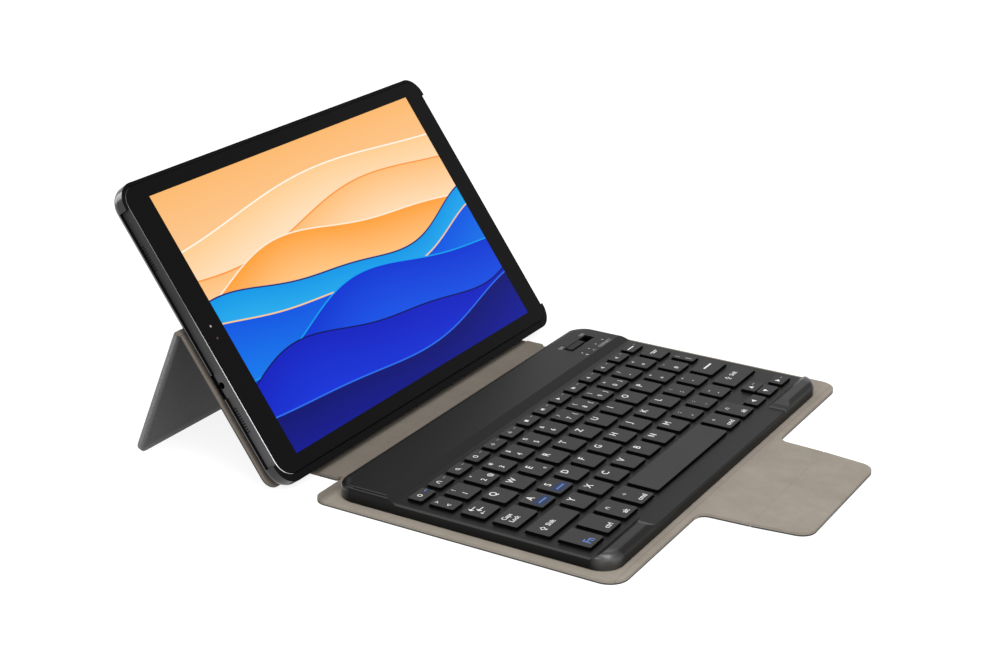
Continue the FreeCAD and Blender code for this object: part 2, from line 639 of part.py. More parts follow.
def tablet():
    low = "tablet_low"
    high = "tablet_low + tablet_height"
    outline = rectangle("tablet_width / 2", low, high, "tablet_corner", "tablet_corner")
    block = slab("housing_block", outline, "tablet_thickness - frame_drop", "tray_floor", "tablet_edge",
                 "frame_bevel")
    glass_back = "glass_front - glass_thickness"
    opening = inset_glass("frame_width")
    seat = slab("glass_seat", opening, "2 * glass_thickness", glass_back, "glass_fit")
    screen_low = "tablet_low + (tablet_height - screen_height) / 2"
    display_back = glass_back + " - display_thickness"
    recess = box("display_seat", "screen_width + 2 * display_fit", "screen_height + 2 * display_fit",
                 "tablet_thickness", "-screen_width / 2 - display_fit", screen_low + " - display_fit", display_back)
    jack = lying_cylinder("jack_bore", "jack_radius", "2 * jack_depth", "-tablet_width / 2 - jack_depth",
                          "tablet_low + jack_height", "tray_floor + jack_rise")
    keep("tablet_housing", cut("housing_hollow", block, together("housing_cutters", [seat, recess, jack])), HOLDER)
    screen = rectangle("screen_width / 2", screen_low, screen_low + " + screen_height")
    plate("tablet_display", screen, "display_thickness", HOLDER, display_back)
    plate("tablet_glass", inset_glass("frame_width + glass_fit"), "glass_thickness", HOLDER, glass_back)


def inset_glass(margin):
    """The tablet's outline moved inward by a margin."""
    corner = "tablet_corner - (%s)" % margin
    return rectangle("tablet_width / 2 - (%s)" % margin, "tablet_low + " + margin,
                     "tablet_low + tablet_height - (%s)" % margin, corner, corner)


def key_rows():
    """Every key as (node, left, front, width name, depth name), row by row from the rear."""
    ordinary = "key_width"
    rows = [
        ("function_depth", [("keys_function_row", "function_width")] * 14),
        ("key_depth", [("keys_number_row", "first_width")] + [("keys_number_row", ordinary)] * 12
         + [("key_backspace", ordinary)]),
        ("key_depth", [("key_tab", "tab_width")] + [("keys_upper_row", ordinary)] * 12
         + [("keys_upper_row", "last_width")]),
        ("key_depth", [("key_caps", "caps_width")] + [("keys_home_row", ordinary)] * 11
         + [("key_enter", "enter_width")]),
        ("key_depth", [("key_left_shift", "shift_width")] + [("keys_lower_row", ordinary)] * 10
         + [("key_right_shift", "right_shift_width")]),
        ("bottom_depth", [("key_fn", ordinary)] + [("keys_bottom_row", ordinary)] * 3
         + [("key_space", "space_width")] + [("keys_bottom_row", ordinary)] * 2
         + [("key_left_arrow", "arrow_width"), ("key_up_arrow", "arrow_width"),
            ("key_right_arrow", "arrow_width")]),
    ]
    keys = []
    rear = SIZE["field_rear"]
    for depth, row in rows:
        left = -SIZE["field_width"] / 2
        front = rear - SIZE[depth]
        for node, width in row:
            upper = node == "key_up_arrow"
            half = "arrow" in node
            at = front + (SIZE[depth] - SIZE["arrow_depth"] if upper else 0)
            keys.append((node, left, at, width, "arrow_depth" if half else depth))
            if upper:
                keys.append(("key_down_arrow", left, front, width, "arrow_depth"))
            left += SIZE[width] + SIZE["key_gap"]
        rear = front - SIZE["row_gap"]
    return keys


def place(thing, x, y, z):
    thing.Placement = FreeCAD.Placement(FreeCAD.Vector(x, y, z), FreeCAD.Rotation())


def keys(layout):
    """The key caps, one node for each single key and one for the ordinary keys of a row."""
    groups = {}
    for number, (node, left, front, width, depth) in enumerate(layout):
        block = doc.addObject("Part::Box", "key%d_block" % number)
        bind(block, Length=width, Width=depth, Height="key_height")
        place(block, left, front, SIZE["key_low"])
        groups.setdefault(node, []).append(rounded_box("key%d" % number, block, "key_corner", "key_edge"))
    for node, caps in groups.items():
        if len(caps) > 1:
            keep(node, together(node + "_group", caps, "Part::Compound"))
        else:
            keep(node, caps[0])


def key_openings(layout):
    """Cutters for the openings in the deck, each a little larger than its key."""
    cutters = []
    for number, (node, left, front, width, depth) in enumerate(layout):
        block = doc.addObject("Part::Box", "opening%d" % number)
        bind(block, Length=width + " + 2 * key_clearance", Width=depth + " + 2 * key_clearance",
             Height="case_top + 2 * key_rise")
        place(block, left - SIZE["key_clearance"], front - SIZE["key_clearance"],
              SIZE["deck_z"] - SIZE["case_top"] - SIZE["key_rise"])
        cutters.append(block)
    return cutters


def screw_places():
    """Middle of each cover screw and the top of the case above it: front and rear, at both sides and between."""
    side = "(keyboard_width / 2 - screw_inset - keyboard_corner / 2)"
    front = "keyboard_front + screw_inset"
    rear = "keyboard_rear - screw_inset"
    return [(x, y, roof) for y, roof in ((front, "deck_z"), (rear, "bar_z")) for x in ("-" + side, "0", side)]


def trough(name, foot, head, low, high):
    """A cutter that widens upward between two rises above the deck.

    Its foot and its head are each given as (left, right, front, rear).
    """
    thing = doc.addObject("Part::Wedge", name)
    bind(thing, Ymin="deck_z + " + low, Xmin=foot[0], Xmax=foot[1], Zmin="-(%s)" % foot[3],
         Zmax="-(%s)" % foot[2], Ymax="deck_z + " + high, X2min=head[0], X2max=head[1],
         Z2min="-(%s)" % head[3], Z2max="-(%s)" % head[2])
    thing.Placement = turned(90, 0, 0)
    return thing


def deck_cutters():
    """Cutters that lower the case to its deck, between the rear bar and the front bumps, and bevel its edges."""
    top = "2 * bar_rise"
    bevel = "-deck_edge"
    outside = "keyboard_width / 2 + keyboard_corner"
    before = "keyboard_front - keyboard_corner"
    bump_end = "keyboard_width / 2 - bump_length - bump_run * pad_rise"
    pad_end = "keyboard_width / 2 - bump_length - pad_length"

    def slopes(rise):
        """Front and rear of the lowered field at a rise above the deck."""
        return ("keyboard_front + bump_depth - bump_slope * (%s) / bar_rise" % rise,
                "bar_front + bar_slope * (%s) / bar_rise" % rise)

    def ends(half_width, rise, run="1"):
        """Left and right of a cut at a rise above the deck, with a run outward for each millimetre of rise."""
        reach = "(%s + (%s) * (%s))" % (half_width, run, rise)
        return "-" + reach, reach

    def side(rise):
        """Where the bevel of the deck's side edges is at a rise above the deck."""
        return "(keyboard_width / 2 - deck_edge - (%s))" % rise

    across = ("-(%s)" % outside, outside)
    to_bar = (before, "bar_front")
    front_edge = "keyboard_front + deck_edge + "
    return [
        trough("case_field_cut", across + slopes("0"), across + slopes(top), "0", top),
        trough("case_pad_cut", ends(bump_end, "pad_rise", "bump_run") + to_bar,
               ends(bump_end, top, "bump_run") + to_bar, "pad_rise", top),
        trough("case_front_cut", ends(pad_end, "0") + to_bar, ends(pad_end, top) + to_bar, "0", top),
        trough("case_front_bevel", ends(pad_end, bevel) + (before, front_edge + bevel),
               ends(pad_end, top) + (before, front_edge + top), bevel, top),
        trough("case_left_bevel", (across[0], "-" + side(bevel)) + slopes(bevel),
               (across[0], "-" + side(top)) + slopes(top), bevel, top),
        trough("case_right_bevel", (side(bevel), across[1]) + slopes(bevel), (side(top), across[1]) + slopes(top),
               bevel, top),
    ]


def top_case(layout):
    """Upper shell of the keyboard, with the raised rear bar, the front bumps and the key openings."""
    low = "panel_thickness + case_lift"
    outline = rectangle("keyboard_width / 2", "keyboard_front", "keyboard_rear", "keyboard_corner",
                        "keyboard_corner")
    block = rounded_block("case_block", outline, "bar_z - (%s)" % low, low)
    round_edges(block, "case_block_edge", lambda edge, limits: limits.ZMin > SIZE["bar_z"] - NEAR, "case_edge")
    solid = cut("case_solid", block, together("case_deck_cutters", deck_cutters()))
    inside = "keyboard_width / 2 - case_wall"
    rear = "keyboard_rear - case_wall"
    corner = "keyboard_corner - case_wall"
    hollow = rounded_block("case_hollow", rectangle(inside, "keyboard_front + case_wall", rear, corner, corner),
                           "deck_z - case_top - (%s)" % low, low)
    attic = rounded_block("case_attic", rectangle(inside, "bar_front + bar_slope", rear, "", corner),
                          "bar_z - case_top - (%s)" % low, low)
    slot = box("case_slot", "slot_length", "slot_width", "case_top * 3", "slot_left", "slot_y - slot_width / 2",
               "bar_z - 2 * case_top")
    mouth = box("case_port_mouth", "case_wall * 3", "port_width + 2 * port_fit", "port_height + 2 * port_fit",
                "keyboard_width / 2 - 2 * case_wall", "bay_y - port_width / 2 - port_fit",
                "circuit_z - port_fit")
    holes = [light("case_light_hole%d" % number, number, "light_radius + light_fit", "bar_z - 2 * case_top",
                   "case_top * 3") for number in range(4)]
    cutters = [hollow, attic, slot, mouth] + holes + key_openings(layout)
    shell = cut("top_case_shell", solid, together("top_case_cutters", cutters))
    bosses = [cut("case_boss%d" % number,
                  cylinder("case_boss_post%d" % number, "boss_radius", roof + " - case_top - cover_z", x, y,
                           "cover_z"),
                  cylinder("case_boss_bore%d" % number, "screw_radius", "deck_z - case_top - cover_z", x, y,
                           "cover_z"))
              for number, (x, y, roof) in enumerate(screw_places())]
    keep("keyboard_top_case", together("top_case_join", [shell] + bosses))


def light(name, number, radius, z, height):
    """One of the indicator lights in front of the power switch, or its hole."""
    x = "slot_left + slot_length / 2 + (%g) * light_pitch" % (number - 1.5)
    return cylinder(name, radius, height, x, "keyboard_rear - light_setback", z)


def keyboard_inside():
    """What the keyboard's case holds, from the bottom cover up."""
    room = "case_wall + cover_fit"
    corner = "keyboard_corner - (%s)" % room
    panel = rounded_block("cover_panel", rectangle("keyboard_width / 2 - (%s)" % room, "keyboard_front + " + room,
                                                   "keyboard_rear - (%s)" % room, corner, corner),
                          "cover_thickness", "panel_thickness")
    rib_length = "field_width + 2 * plate_margin"
    ribs = [box("cover_rib%d" % number, rib_length, "rib_width", "plate_low - cover_z", "-(%s) / 2" % rib_length,
                y, "cover_z")
            for number, y in enumerate(("field_front", "field_front + field_depth / 2",
                                        "field_rear - rib_width"))]
    sunk = [together("cover_hole%d" % number, [
        cylinder("cover_bore%d" % number, "screw_radius + screw_fit", "cover_thickness * 3", x, y,
                 "panel_thickness - cover_thickness"),
        cylinder("cover_sink%d" % number, "screw_head_radius + screw_fit", "screw_head_height + screw_fit", x, y,
                 "panel_thickness")]) for number, (x, y, roof) in enumerate(screw_places())]
    keep("keyboard_cover", cut("cover_drilled", together("cover_ribbed", [panel] + ribs),
                               together("cover_holes", sunk)))
    screws = [together("cover_screw%d" % number, [
        cylinder("screw_head%d" % number, "screw_head_radius", "screw_head_height", x, y,
                 "panel_thickness + screw_fit"),
        cylinder("screw_shank%d" % number, "screw_radius - screw_fit / 2", "screw_length", x, y,
                 "panel_thickness + screw_fit + screw_head_height")])
        for number, (x, y, roof) in enumerate(screw_places())]
    keep("cover_screws", together("cover_screw_group", screws, "Part::Compound"))
    magnets = [magnet("keyboard_magnet%d" % number, side, "cover_z", "plate_low - cover_z")
               for number, side in enumerate(MAGNET_SIDES)]
    keep("keyboard_magnets", together("keyboard_magnet_group", magnets, "Part::Compound"))
    field = rectangle("field_width / 2 + plate_margin", "field_front - plate_margin", "field_rear + plate_margin")
    plate("key_plate", field, "plate_thickness", height="plate_low")
    plate("key_membrane", field, "membrane_thickness", height="plate_top")
    keep("battery_cell", rounded_box("battery_block", box(
        "battery_bare", "battery_length", "battery_depth", "battery_height", "battery_left",
        "bay_y - battery_depth / 2", "cover_z"), "key_corner", "key_edge"))
    keep("circuit_board", box("circuit_bare", "circuit_length", "battery_depth", "circuit_thickness",
                              "circuit_left", "bay_y - battery_depth / 2", "cover_z"))
    keep("slide_switch", box("switch_bare", "switch_length", "switch_width", "switch_top - circuit_z",
                             "slot_left + slot_length / 2 - switch_length / 2", "slot_y - switch_width / 2",
                             "circuit_z"))
    knob = box("knob_bare", "knob_length", "knob_width", "bar_z + knob_rise - switch_top - switch_gap",
               "slot_left + slot_clearance", "slot_y - knob_width / 2", "switch_top + switch_gap")
    keep("switch_knob", rounded_box("knob_round", knob, "knob_corner", "key_edge"))
    lights = [light("indicator_light%d" % number, number, "light_radius", "bar_z - case_top", "case_top")
              for number in range(4)]
    keep("indicator_lights", together("indicator_light_group", lights, "Part::Compound"))
    port = box("port_block", "port_length", "port_width", "port_height",
               "keyboard_width / 2 - port_recess - port_length", "bay_y - port_width / 2", "circuit_z")
    throat = box("port_throat", "port_length", "port_width - 4 * port_fit", "port_height - 4 * port_fit",
                 "keyboard_width / 2 - port_recess - port_length + case_top",
                 "bay_y - port_width / 2 + 2 * port_fit", "circuit_z + 2 * port_fit")
    keep("charge_port", cut("port_hollow", port, throat))


def check_and_write():
    """Stop on any failed object, then write one file for each sub-part."""
    doc.recompute()
    for thing in doc.Objects:
        if "Invalid" in thing.State or "Error" in thing.State:
            raise RuntimeError("%s failed: %s" % (thing.Label, thing.State))
    for label, thing in parts.items():
        if thing.Shape.isNull() or not thing.Shape.isValid():
            raise RuntimeError(label + " has no valid shape")
    os.makedirs("parts", exist_ok=True)
    for label, thing in parts.items():
        thing.Shape.exportStep("parts/%s.step" % label)


front_panel()
spine()
back_fold_band()
holder_shell()
rear_panel()
kick_panel()
flap()
tablet()
LAYOUT = key_rows()
keys(LAYOUT)
top_case(LAYOUT)
keyboard_inside()
check_and_write()
print(len(parts), "sub-parts")
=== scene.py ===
import json
import math

import bmesh
import bpy
from mathutils import Matrix, Vector


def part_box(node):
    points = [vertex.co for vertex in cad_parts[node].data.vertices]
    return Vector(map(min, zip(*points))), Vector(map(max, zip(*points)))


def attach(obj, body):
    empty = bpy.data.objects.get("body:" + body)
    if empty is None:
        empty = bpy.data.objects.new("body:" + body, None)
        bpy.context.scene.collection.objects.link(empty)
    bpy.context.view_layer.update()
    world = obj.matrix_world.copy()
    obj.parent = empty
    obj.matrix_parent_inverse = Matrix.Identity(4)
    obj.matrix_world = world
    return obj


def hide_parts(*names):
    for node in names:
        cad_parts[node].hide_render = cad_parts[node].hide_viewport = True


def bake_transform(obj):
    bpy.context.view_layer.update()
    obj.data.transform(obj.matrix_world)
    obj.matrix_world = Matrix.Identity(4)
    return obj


# Tablet keyboard case, standing open. Metres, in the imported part's own frame:
# +X to the typist's right, +Y away from the typist, +Z up, the table at zero.

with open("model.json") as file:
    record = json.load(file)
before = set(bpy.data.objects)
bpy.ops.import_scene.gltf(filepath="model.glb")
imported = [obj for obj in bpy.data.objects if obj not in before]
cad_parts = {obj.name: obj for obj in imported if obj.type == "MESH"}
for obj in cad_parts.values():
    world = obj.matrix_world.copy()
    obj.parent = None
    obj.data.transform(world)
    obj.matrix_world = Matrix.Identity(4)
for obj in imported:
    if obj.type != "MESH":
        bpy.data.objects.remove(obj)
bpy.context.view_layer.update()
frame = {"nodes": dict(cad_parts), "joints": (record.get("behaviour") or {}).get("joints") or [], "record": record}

MM = 0.001
RIGHT = Vector((1, 0, 0))
BACKWARD = Vector((0, 1, 0))
JOINTS = {joint["name"]: joint for joint in frame["joints"]}
OUT_OF_SCREEN = Vector(JOINTS["device_lift"]["axis"]).normalized()
UP_SCREEN = OUT_OF_SCREEN.cross(RIGHT)
CASE_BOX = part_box("keyboard_top_case")
# Lean of the screen and of the kick panel, in degrees from upright; the panel's foot is behind its axis
SCREEN_LEAN = math.degrees(math.asin(OUT_OF_SCREEN.z))
KICK_LEAN = 22.5
KICK_AXIS = Vector(JOINTS["foot_fold"]["pos_m"])
KICK_DOWN = Vector((0, math.sin(math.radians(KICK_LEAN)), -math.cos(math.radians(KICK_LEAN))))


def extent(node, direction):
    """Lowest and highest place of a node along a direction."""
    places = [vertex.co.dot(direction) for vertex in frame["nodes"][node].data.vertices]
    return min(places), max(places)


class Shading:
    """A node tree, with short ways to add nodes and join them."""

    def __init__(self, tree):
        self.tree = tree

    def node(self, kind, **settings):
        made = self.tree.nodes.new(kind)
        for name, value in settings.items():
            setattr(made, name, value)
        return made

    def join(self, source, target):
        self.tree.links.new(source, target)

    def feed(self, socket, value):
        """Link a socket to another one, or set it to a number or vector."""
        if isinstance(value, bpy.types.NodeSocket):
            self.join(value, socket)
        else:
            socket.default_value = value

    def math(self, operation, first, second=0.0, clamp=False):
        made = self.node("ShaderNodeMath", operation=operation, use_clamp=clamp)
        self.feed(made.inputs[0], first)
        self.feed(made.inputs[1], second)
        return made.outputs[0]

    def along(self, place, direction):
        """How far a place is along a direction."""
        made = self.node("ShaderNodeVectorMath", operation="DOT_PRODUCT")
        self.feed(made.inputs[0], place)
        self.feed(made.inputs[1], direction)
        return made.outputs["Value"]

    def mix(self, factor, first, second):
        made = self.node("ShaderNodeMix", data_type="RGBA")
        self.feed(made.inputs[0], factor)
        self.feed(made.inputs[6], first)
        self.feed(made.inputs[7], second)
        return made.outputs[2]

    def noise(self, place, scale, detail=2.0, roughness=0.5):
        made = self.node("ShaderNodeTexNoise")
        self.feed(made.inputs["Vector"], place)
        self.feed(made.inputs["Scale"], scale)
        made.inputs["Detail"].default_value = detail
        made.inputs["Roughness"].default_value = roughness
        return made.outputs["Fac"]

    def ramp(self, value, first, last):
        """A colour that runs from one to another as a value runs from 0 to 1."""
        made = self.node("ShaderNodeValToRGB")
        for element, tone in zip(made.color_ramp.elements, (first, last)):
            element.color = tone
        self.feed(made.inputs["Fac"], value)
        return made.outputs["Color"]

    def bump(self, height, strength, distance):
        made = self.node("ShaderNodeBump")
        made.inputs["Strength"].default_value = strength
        made.inputs["Distance"].default_value = distance
        self.join(height, made.inputs["Height"])
        return made.outputs["Normal"]

    def place(self):
        return self.node("ShaderNodeTexCoord").outputs["Object"]

    def group(self, tree, **values):
        made = self.node("ShaderNodeGroup", node_tree=tree)
        for name, value in values.items():
            self.feed(made.inputs[name.replace("_", " ")], value)
        return made.outputs


def colour(red, green, blue):
    """A colour as it shows on screen, 0 to 255, in scene values."""
    def linear(channel):
        channel /= 255
        return channel / 12.92 if channel <= 0.04045 else ((channel + 0.055) / 1.055) ** 2.4
    return linear(red), linear(green), linear(blue), 1.0


def grey(level):
    return colour(level, level, level)


def shader_group(name, outputs, **more_inputs):
    """An empty shader node group that takes a place, and any other named inputs."""
    tree = bpy.data.node_groups.new(name, "ShaderNodeTree")
    for label, kind in {"Place": "NodeSocketVector", **more_inputs}.items():
        tree.interface.new_socket(label.replace("_", " "), in_out="INPUT", socket_type=kind)
    for label in outputs:
        tree.interface.new_socket(label, in_out="OUTPUT", socket_type="NodeSocketFloat")
    shading = Shading(tree)
    return shading, shading.node("NodeGroupInput").outputs, shading.node("NodeGroupOutput").inputs


# Scales are patterns per metre
PLASTIC_TONE_SCALE = 30.0


def make_fine_grain():
    """Matt moulded texture: small pits, and a slow and faint change of tone."""
    shading, given, result = shader_group("fine_grain", ["Height", "Tone"], Pits_per_metre="NodeSocketFloat")
    shading.join(shading.noise(given["Place"], given["Pits per metre"], 1.0), result["Height"])
    shading.join(shading.noise(given["Place"], PLASTIC_TONE_SCALE, 3.0), result["Tone"])
    return shading.tree


LEATHER_CELL_SCALE = 850.0
LEATHER_CELL_STEEPNESS = 6.0
LEATHER_ROUGH_SCALE = 1500.0
LEATHER_TONE_SCALE = 12.0
LEATHER_CREASE_DEPTH = 0.8


def make_leather_grain():
    """Small pebbled cells with creases between them, and a slow change of tone."""
    shading, given, result = shader_group("leather_grain", ["Height", "Crease", "Tone"])
    cells = shading.node("ShaderNodeTexVoronoi", feature="DISTANCE_TO_EDGE")
    shading.join(given["Place"], cells.inputs["Vector"])
    cells.inputs["Scale"].default_value = LEATHER_CELL_SCALE
    flat = shading.math("MULTIPLY", cells.outputs["Distance"], LEATHER_CELL_STEEPNESS, clamp=True)
    crease = shading.math("SUBTRACT", 1.0, flat)
    rough = shading.noise(given["Place"], LEATHER_ROUGH_SCALE)
    dip = shading.math("MULTIPLY", crease, LEATHER_CREASE_DEPTH)
    shading.join(shading.math("SUBTRACT", rough, dip), result["Height"])
    shading.join(crease, result["Crease"])
    shading.join(shading.noise(given["Place"], LEATHER_TONE_SCALE), result["Tone"])
    return shading.tree


PILE_SCALE = 1400.0
WIDE_BLOTCH_SCALE = 45.0
NARROW_BLOTCH_SCALE = 190.0
WIDE_BLOTCH_SHARE = 0.6
# Length behind the keyboard over which the lining gets darker with painted shade, as under the tablet
PAINTED_SHADE_LENGTH = 4.0 * MM


def make_brushed_pile():
    """The lining's fine pile, the blotches where it lies another way, and painted shade on the part behind the
    keyboard.
    """
    shading, given, result = shader_group("brushed_pile", ["Height", "Blotch", "Behind"])
    place = given["Place"]
    shading.join(shading.noise(place, PILE_SCALE, 3.0, 0.7), result["Height"])
    wide = shading.noise(place, WIDE_BLOTCH_SCALE, 4.0, 0.6)
    narrow = shading.noise(place, NARROW_BLOTCH_SCALE, 3.0, 0.6)
    blotch = shading.math("ADD", shading.math("MULTIPLY", wide, WIDE_BLOTCH_SHARE),
                          shading.math("MULTIPLY", narrow, 1.0 - WIDE_BLOTCH_SHARE))
    shading.join(blotch, result["Blotch"])
    behind = shading.math("SUBTRACT", shading.along(place, BACKWARD), CASE_BOX[1].y)
    shading.join(shading.math("DIVIDE", behind, PAINTED_SHADE_LENGTH, clamp=True), result["Behind"])
    return shading.tree


# Share of the tablet's height from which its rim is darkest in its painted light and reflection
PAINTED_DARK_FROM = 0.6


def make_rim_height():
    """How far up the tablet a place is, from 0 at its lower end to 1 where its rim is darkest in its painted light
    and reflection.
    """
    shading, given, result = shader_group("rim_height", ["Share"])
    low, high = extent("tablet_housing", UP_SCREEN)
    height = shading.math("SUBTRACT", shading.along(given["Place"], UP_SCREEN), low)
    shading.join(shading.math("DIVIDE", height, (high - low) * PAINTED_DARK_FROM, clamp=True), result["Share"])
    return shading.tree


CORNER_INSET = 2.4 * MM
CORNER_SHARE_UP = 0.35
SHINE_REACH = 9.5 * MM
SHINE_STEEPNESS = 1.6


def make_corner_shine():
    """1 on the rounded front corners of the keyboard, fading to 0 around them."""
    shading, given, result = shader_group("corner_shine", ["Shine"])
    low, high = CASE_BOX
    mirrored = shading.node("ShaderNodeVectorMath", operation="ABSOLUTE")
    shading.join(given["Place"], mirrored.inputs[0])
    away = shading.node("ShaderNodeVectorMath", operation="DISTANCE")
    shading.join(mirrored.outputs["Vector"], away.inputs[0])
    away.inputs[1].default_value = (high.x - CORNER_INSET, -low.y - CORNER_INSET,
                                    low.z + (high.z - low.z) * CORNER_SHARE_UP)
    near = shading.math("SUBTRACT", 1.0, shading.math("DIVIDE", away.outputs["Value"], SHINE_REACH))
    shading.join(shading.math("MULTIPLY", near, SHINE_STEEPNESS, clamp=True), result["Shine"])
    return shading.tree


FINE_GRAIN = make_fine_grain()
LEATHER_GRAIN = make_leather_grain()
BRUSHED_PILE = make_brushed_pile()
RIM_HEIGHT = make_rim_height()
CORNER_SHINE = make_corner_shine()


def new_material(name, **sockets):
    """A material with constant values on its own shader's sockets."""
    material = bpy.data.materials.new(name)
    material.use_nodes = True
    shader = material.node_tree.nodes["Principled BSDF"]
    for label, value in sockets.items():
        shader.inputs[label.replace("_", " ")].default_value = value
    return material, Shading(material.node_tree), shader.inputs


# Pits per metre and their depth, on matt plastic, on keys and on smooth plastic
MATT_PITS = 2600.0
KEY_PITS = 3000.0
SMOOTH_PITS = 3500.0
MATT_DEPTH = 0.02 * MM
SMOOTH_DEPTH = 0.005 * MM
PIT_STRENGTH = 0.3


def grained(name, dark, light, pits=MATT_PITS, depth=MATT_DEPTH, shines=False, **sockets):
    """Plastic, metal or paint with a fine grain between two near tones; it may shine on the front corners."""
    material, shading, inputs = new_material(name, **sockets)
    place = shading.place()
    grain = shading.group(FINE_GRAIN, Place=place, Pits_per_metre=pits)
    if shines:
        shading.join(shading.group(CORNER_SHINE, Place=place)["Shine"], inputs["Coat Weight"])
    shading.join(shading.mix(grain["Tone"], dark, light), inputs["Base Color"])
    shading.join(shading.bump(grain["Height"], PIT_STRENGTH, depth), inputs["Normal"])
    return material


# How much of the other tone the kick panel's lower edge and the creases take on; the lower edge's lighter tone is
# painted light
FOOT_PAINTED_LIGHT = 0.9
CREASE_SHADE = 0.4
LEATHER_STRENGTH = 0.4
LEATHER_DEPTH = 0.08 * MM


def leather(name, border=None):
    """Dark grey grained skin; a border's masks make its pressed rim lighter, and its lower part lighter with
    painted light.
    """
    material, shading, inputs = new_material(name, Roughness=0.6, Specular_IOR_Level=0.2)
    place = shading.place()
    grain = shading.group(LEATHER_GRAIN, Place=place)
    base = shading.mix(grain["Tone"], grey(53), grey(63))
    if border:
        rim, low = border(shading, place)
        # Painted light: the kick panel is lighter towards its foot
        painted_light = shading.math("MULTIPLY", shading.math("POWER", low, 2.0), FOOT_PAINTED_LIGHT)
        base = shading.mix(painted_light, base, grey(92))
        base = shading.mix(rim, base, grey(124))
    crease = shading.math("MULTIPLY", grain["Crease"], CREASE_SHADE)
    shading.join(shading.mix(crease, base, grey(30)), inputs["Base Color"])
    shading.join(shading.bump(grain["Height"], LEATHER_STRENGTH, LEATHER_DEPTH), inputs["Normal"])
    return material


PRESSED_BORDER = 4.5 * MM
BORDER_SOFTNESS = 3.5 * MM


def kick_border(shading, place):
    """Two masks: the rim pressed flat around the kick panel's board, and the share of the way down, which sets the
    painted light.
    """
    half_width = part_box("kick_skin")[1].x
    head, foot = extent("kick_skin", KICK_DOWN)
    down = shading.along(place, KICK_DOWN)
    across = shading.math("ABSOLUTE", shading.along(place, RIGHT))
    side = shading.math("SUBTRACT", across, half_width - PRESSED_BORDER)
    low = shading.math("SUBTRACT", down, foot - PRESSED_BORDER)
    rim = shading.math("DIVIDE", shading.math("MAXIMUM", side, low), BORDER_SOFTNESS, clamp=True)
    return rim, shading.math("DIVIDE", shading.math("SUBTRACT", down, head), foot - head, clamp=True)


PRESSED_LINE_INSET = 3.2 * MM
PRESSED_LINE_WIDTH = 0.5 * MM


def pressed_line(shading, place):
    """1 on the line pressed into the front panel's lining along its front edge, fading to 0 beside it."""
    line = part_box("front_lining")[0].y + PRESSED_LINE_INSET
    away = shading.math("ABSOLUTE", shading.math("SUBTRACT", shading.along(place, BACKWARD), line))
    return shading.math("SUBTRACT", 1.0, shading.math("DIVIDE", away, PRESSED_LINE_WIDTH), clamp=True)


# How much of a darker tone the pile, the painted shade behind the keyboard and the pressed line take on
PILE_SHADE = 0.35
PAINTED_SHADE_BEHIND = 0.55
LINE_SHADE = 0.3
PILE_STRENGTH = 0.5
PILE_DEPTH = 0.12 * MM


def microfibre(name, line=None):
    """Light grey-beige brushed lining: a fine pile, with blotches where it lies another way.

    It is darker from the keyboard's rear edge on: painted shade, where the tablet shades it.
    """
    material, shading, inputs = new_material(name, Roughness=0.95, Specular_IOR_Level=0.05)
    place = shading.place()
    pile = shading.group(BRUSHED_PILE, Place=place)
    tone = shading.mix(pile["Blotch"], colour(130, 122, 112), colour(168, 160, 149))
    tone = shading.mix(shading.math("MULTIPLY", pile["Height"], PILE_SHADE), tone, colour(114, 106, 97))
    # Painted shade on the lining behind the keyboard
    tone = shading.mix(shading.math("MULTIPLY", pile["Behind"], PAINTED_SHADE_BEHIND), tone, colour(84, 77, 70))
    if line:
        pressed = shading.math("MULTIPLY", line(shading, place), LINE_SHADE)
        tone = shading.mix(pressed, tone, colour(96, 88, 80))
    shading.join(tone, inputs["Base Color"])
    shading.join(shading.bump(pile["Height"], PILE_STRENGTH, PILE_DEPTH), inputs["Normal"])
    return material


# The screen's picture, from its sky down. Each wave: crest, swell, waves across, start, and the colours of
# its crest line, just below it and further down
WAVES = [
    (0.66, 0.09, 1.7, 1.0, (255, 250, 236), (255, 205, 144), (255, 232, 202)),
    (0.44, 0.10, 2.1, 0.4, (250, 150, 60), (255, 190, 118), (255, 226, 190)),
    (0.24, 0.13, 2.6, 2.2, (255, 238, 214), (255, 160, 52), (255, 205, 140)),
    (0.05, 0.12, 3.1, 4.1, (6, 20, 120), (0, 150, 232), (50, 190, 240)),
    (-0.10, 0.12, 2.7, 4.4, (255, 206, 140), (0, 84, 226), (10, 120, 236)),
    (-0.26, 0.14, 2.4, 1.2, (0, 160, 240), (0, 50, 210), (16, 84, 230)),
    (-0.48, 0.13, 2.9, 3.0, (0, 8, 96), (8, 28, 190), (14, 50, 216)),
    (-0.72, 0.10, 2.2, 5.0, (40, 110, 240), (4, 10, 110), (8, 22, 156)),
]
CREST_LINE = 0.013
RIPPLES_PER_WAVE = 1.9
RIPPLE_SHARE = 0.35
# How fast a wave's colour changes below its crest, and how sharp its outline is
FADE_RATE = 2.4
OUTLINE_SHARPNESS = 220.0


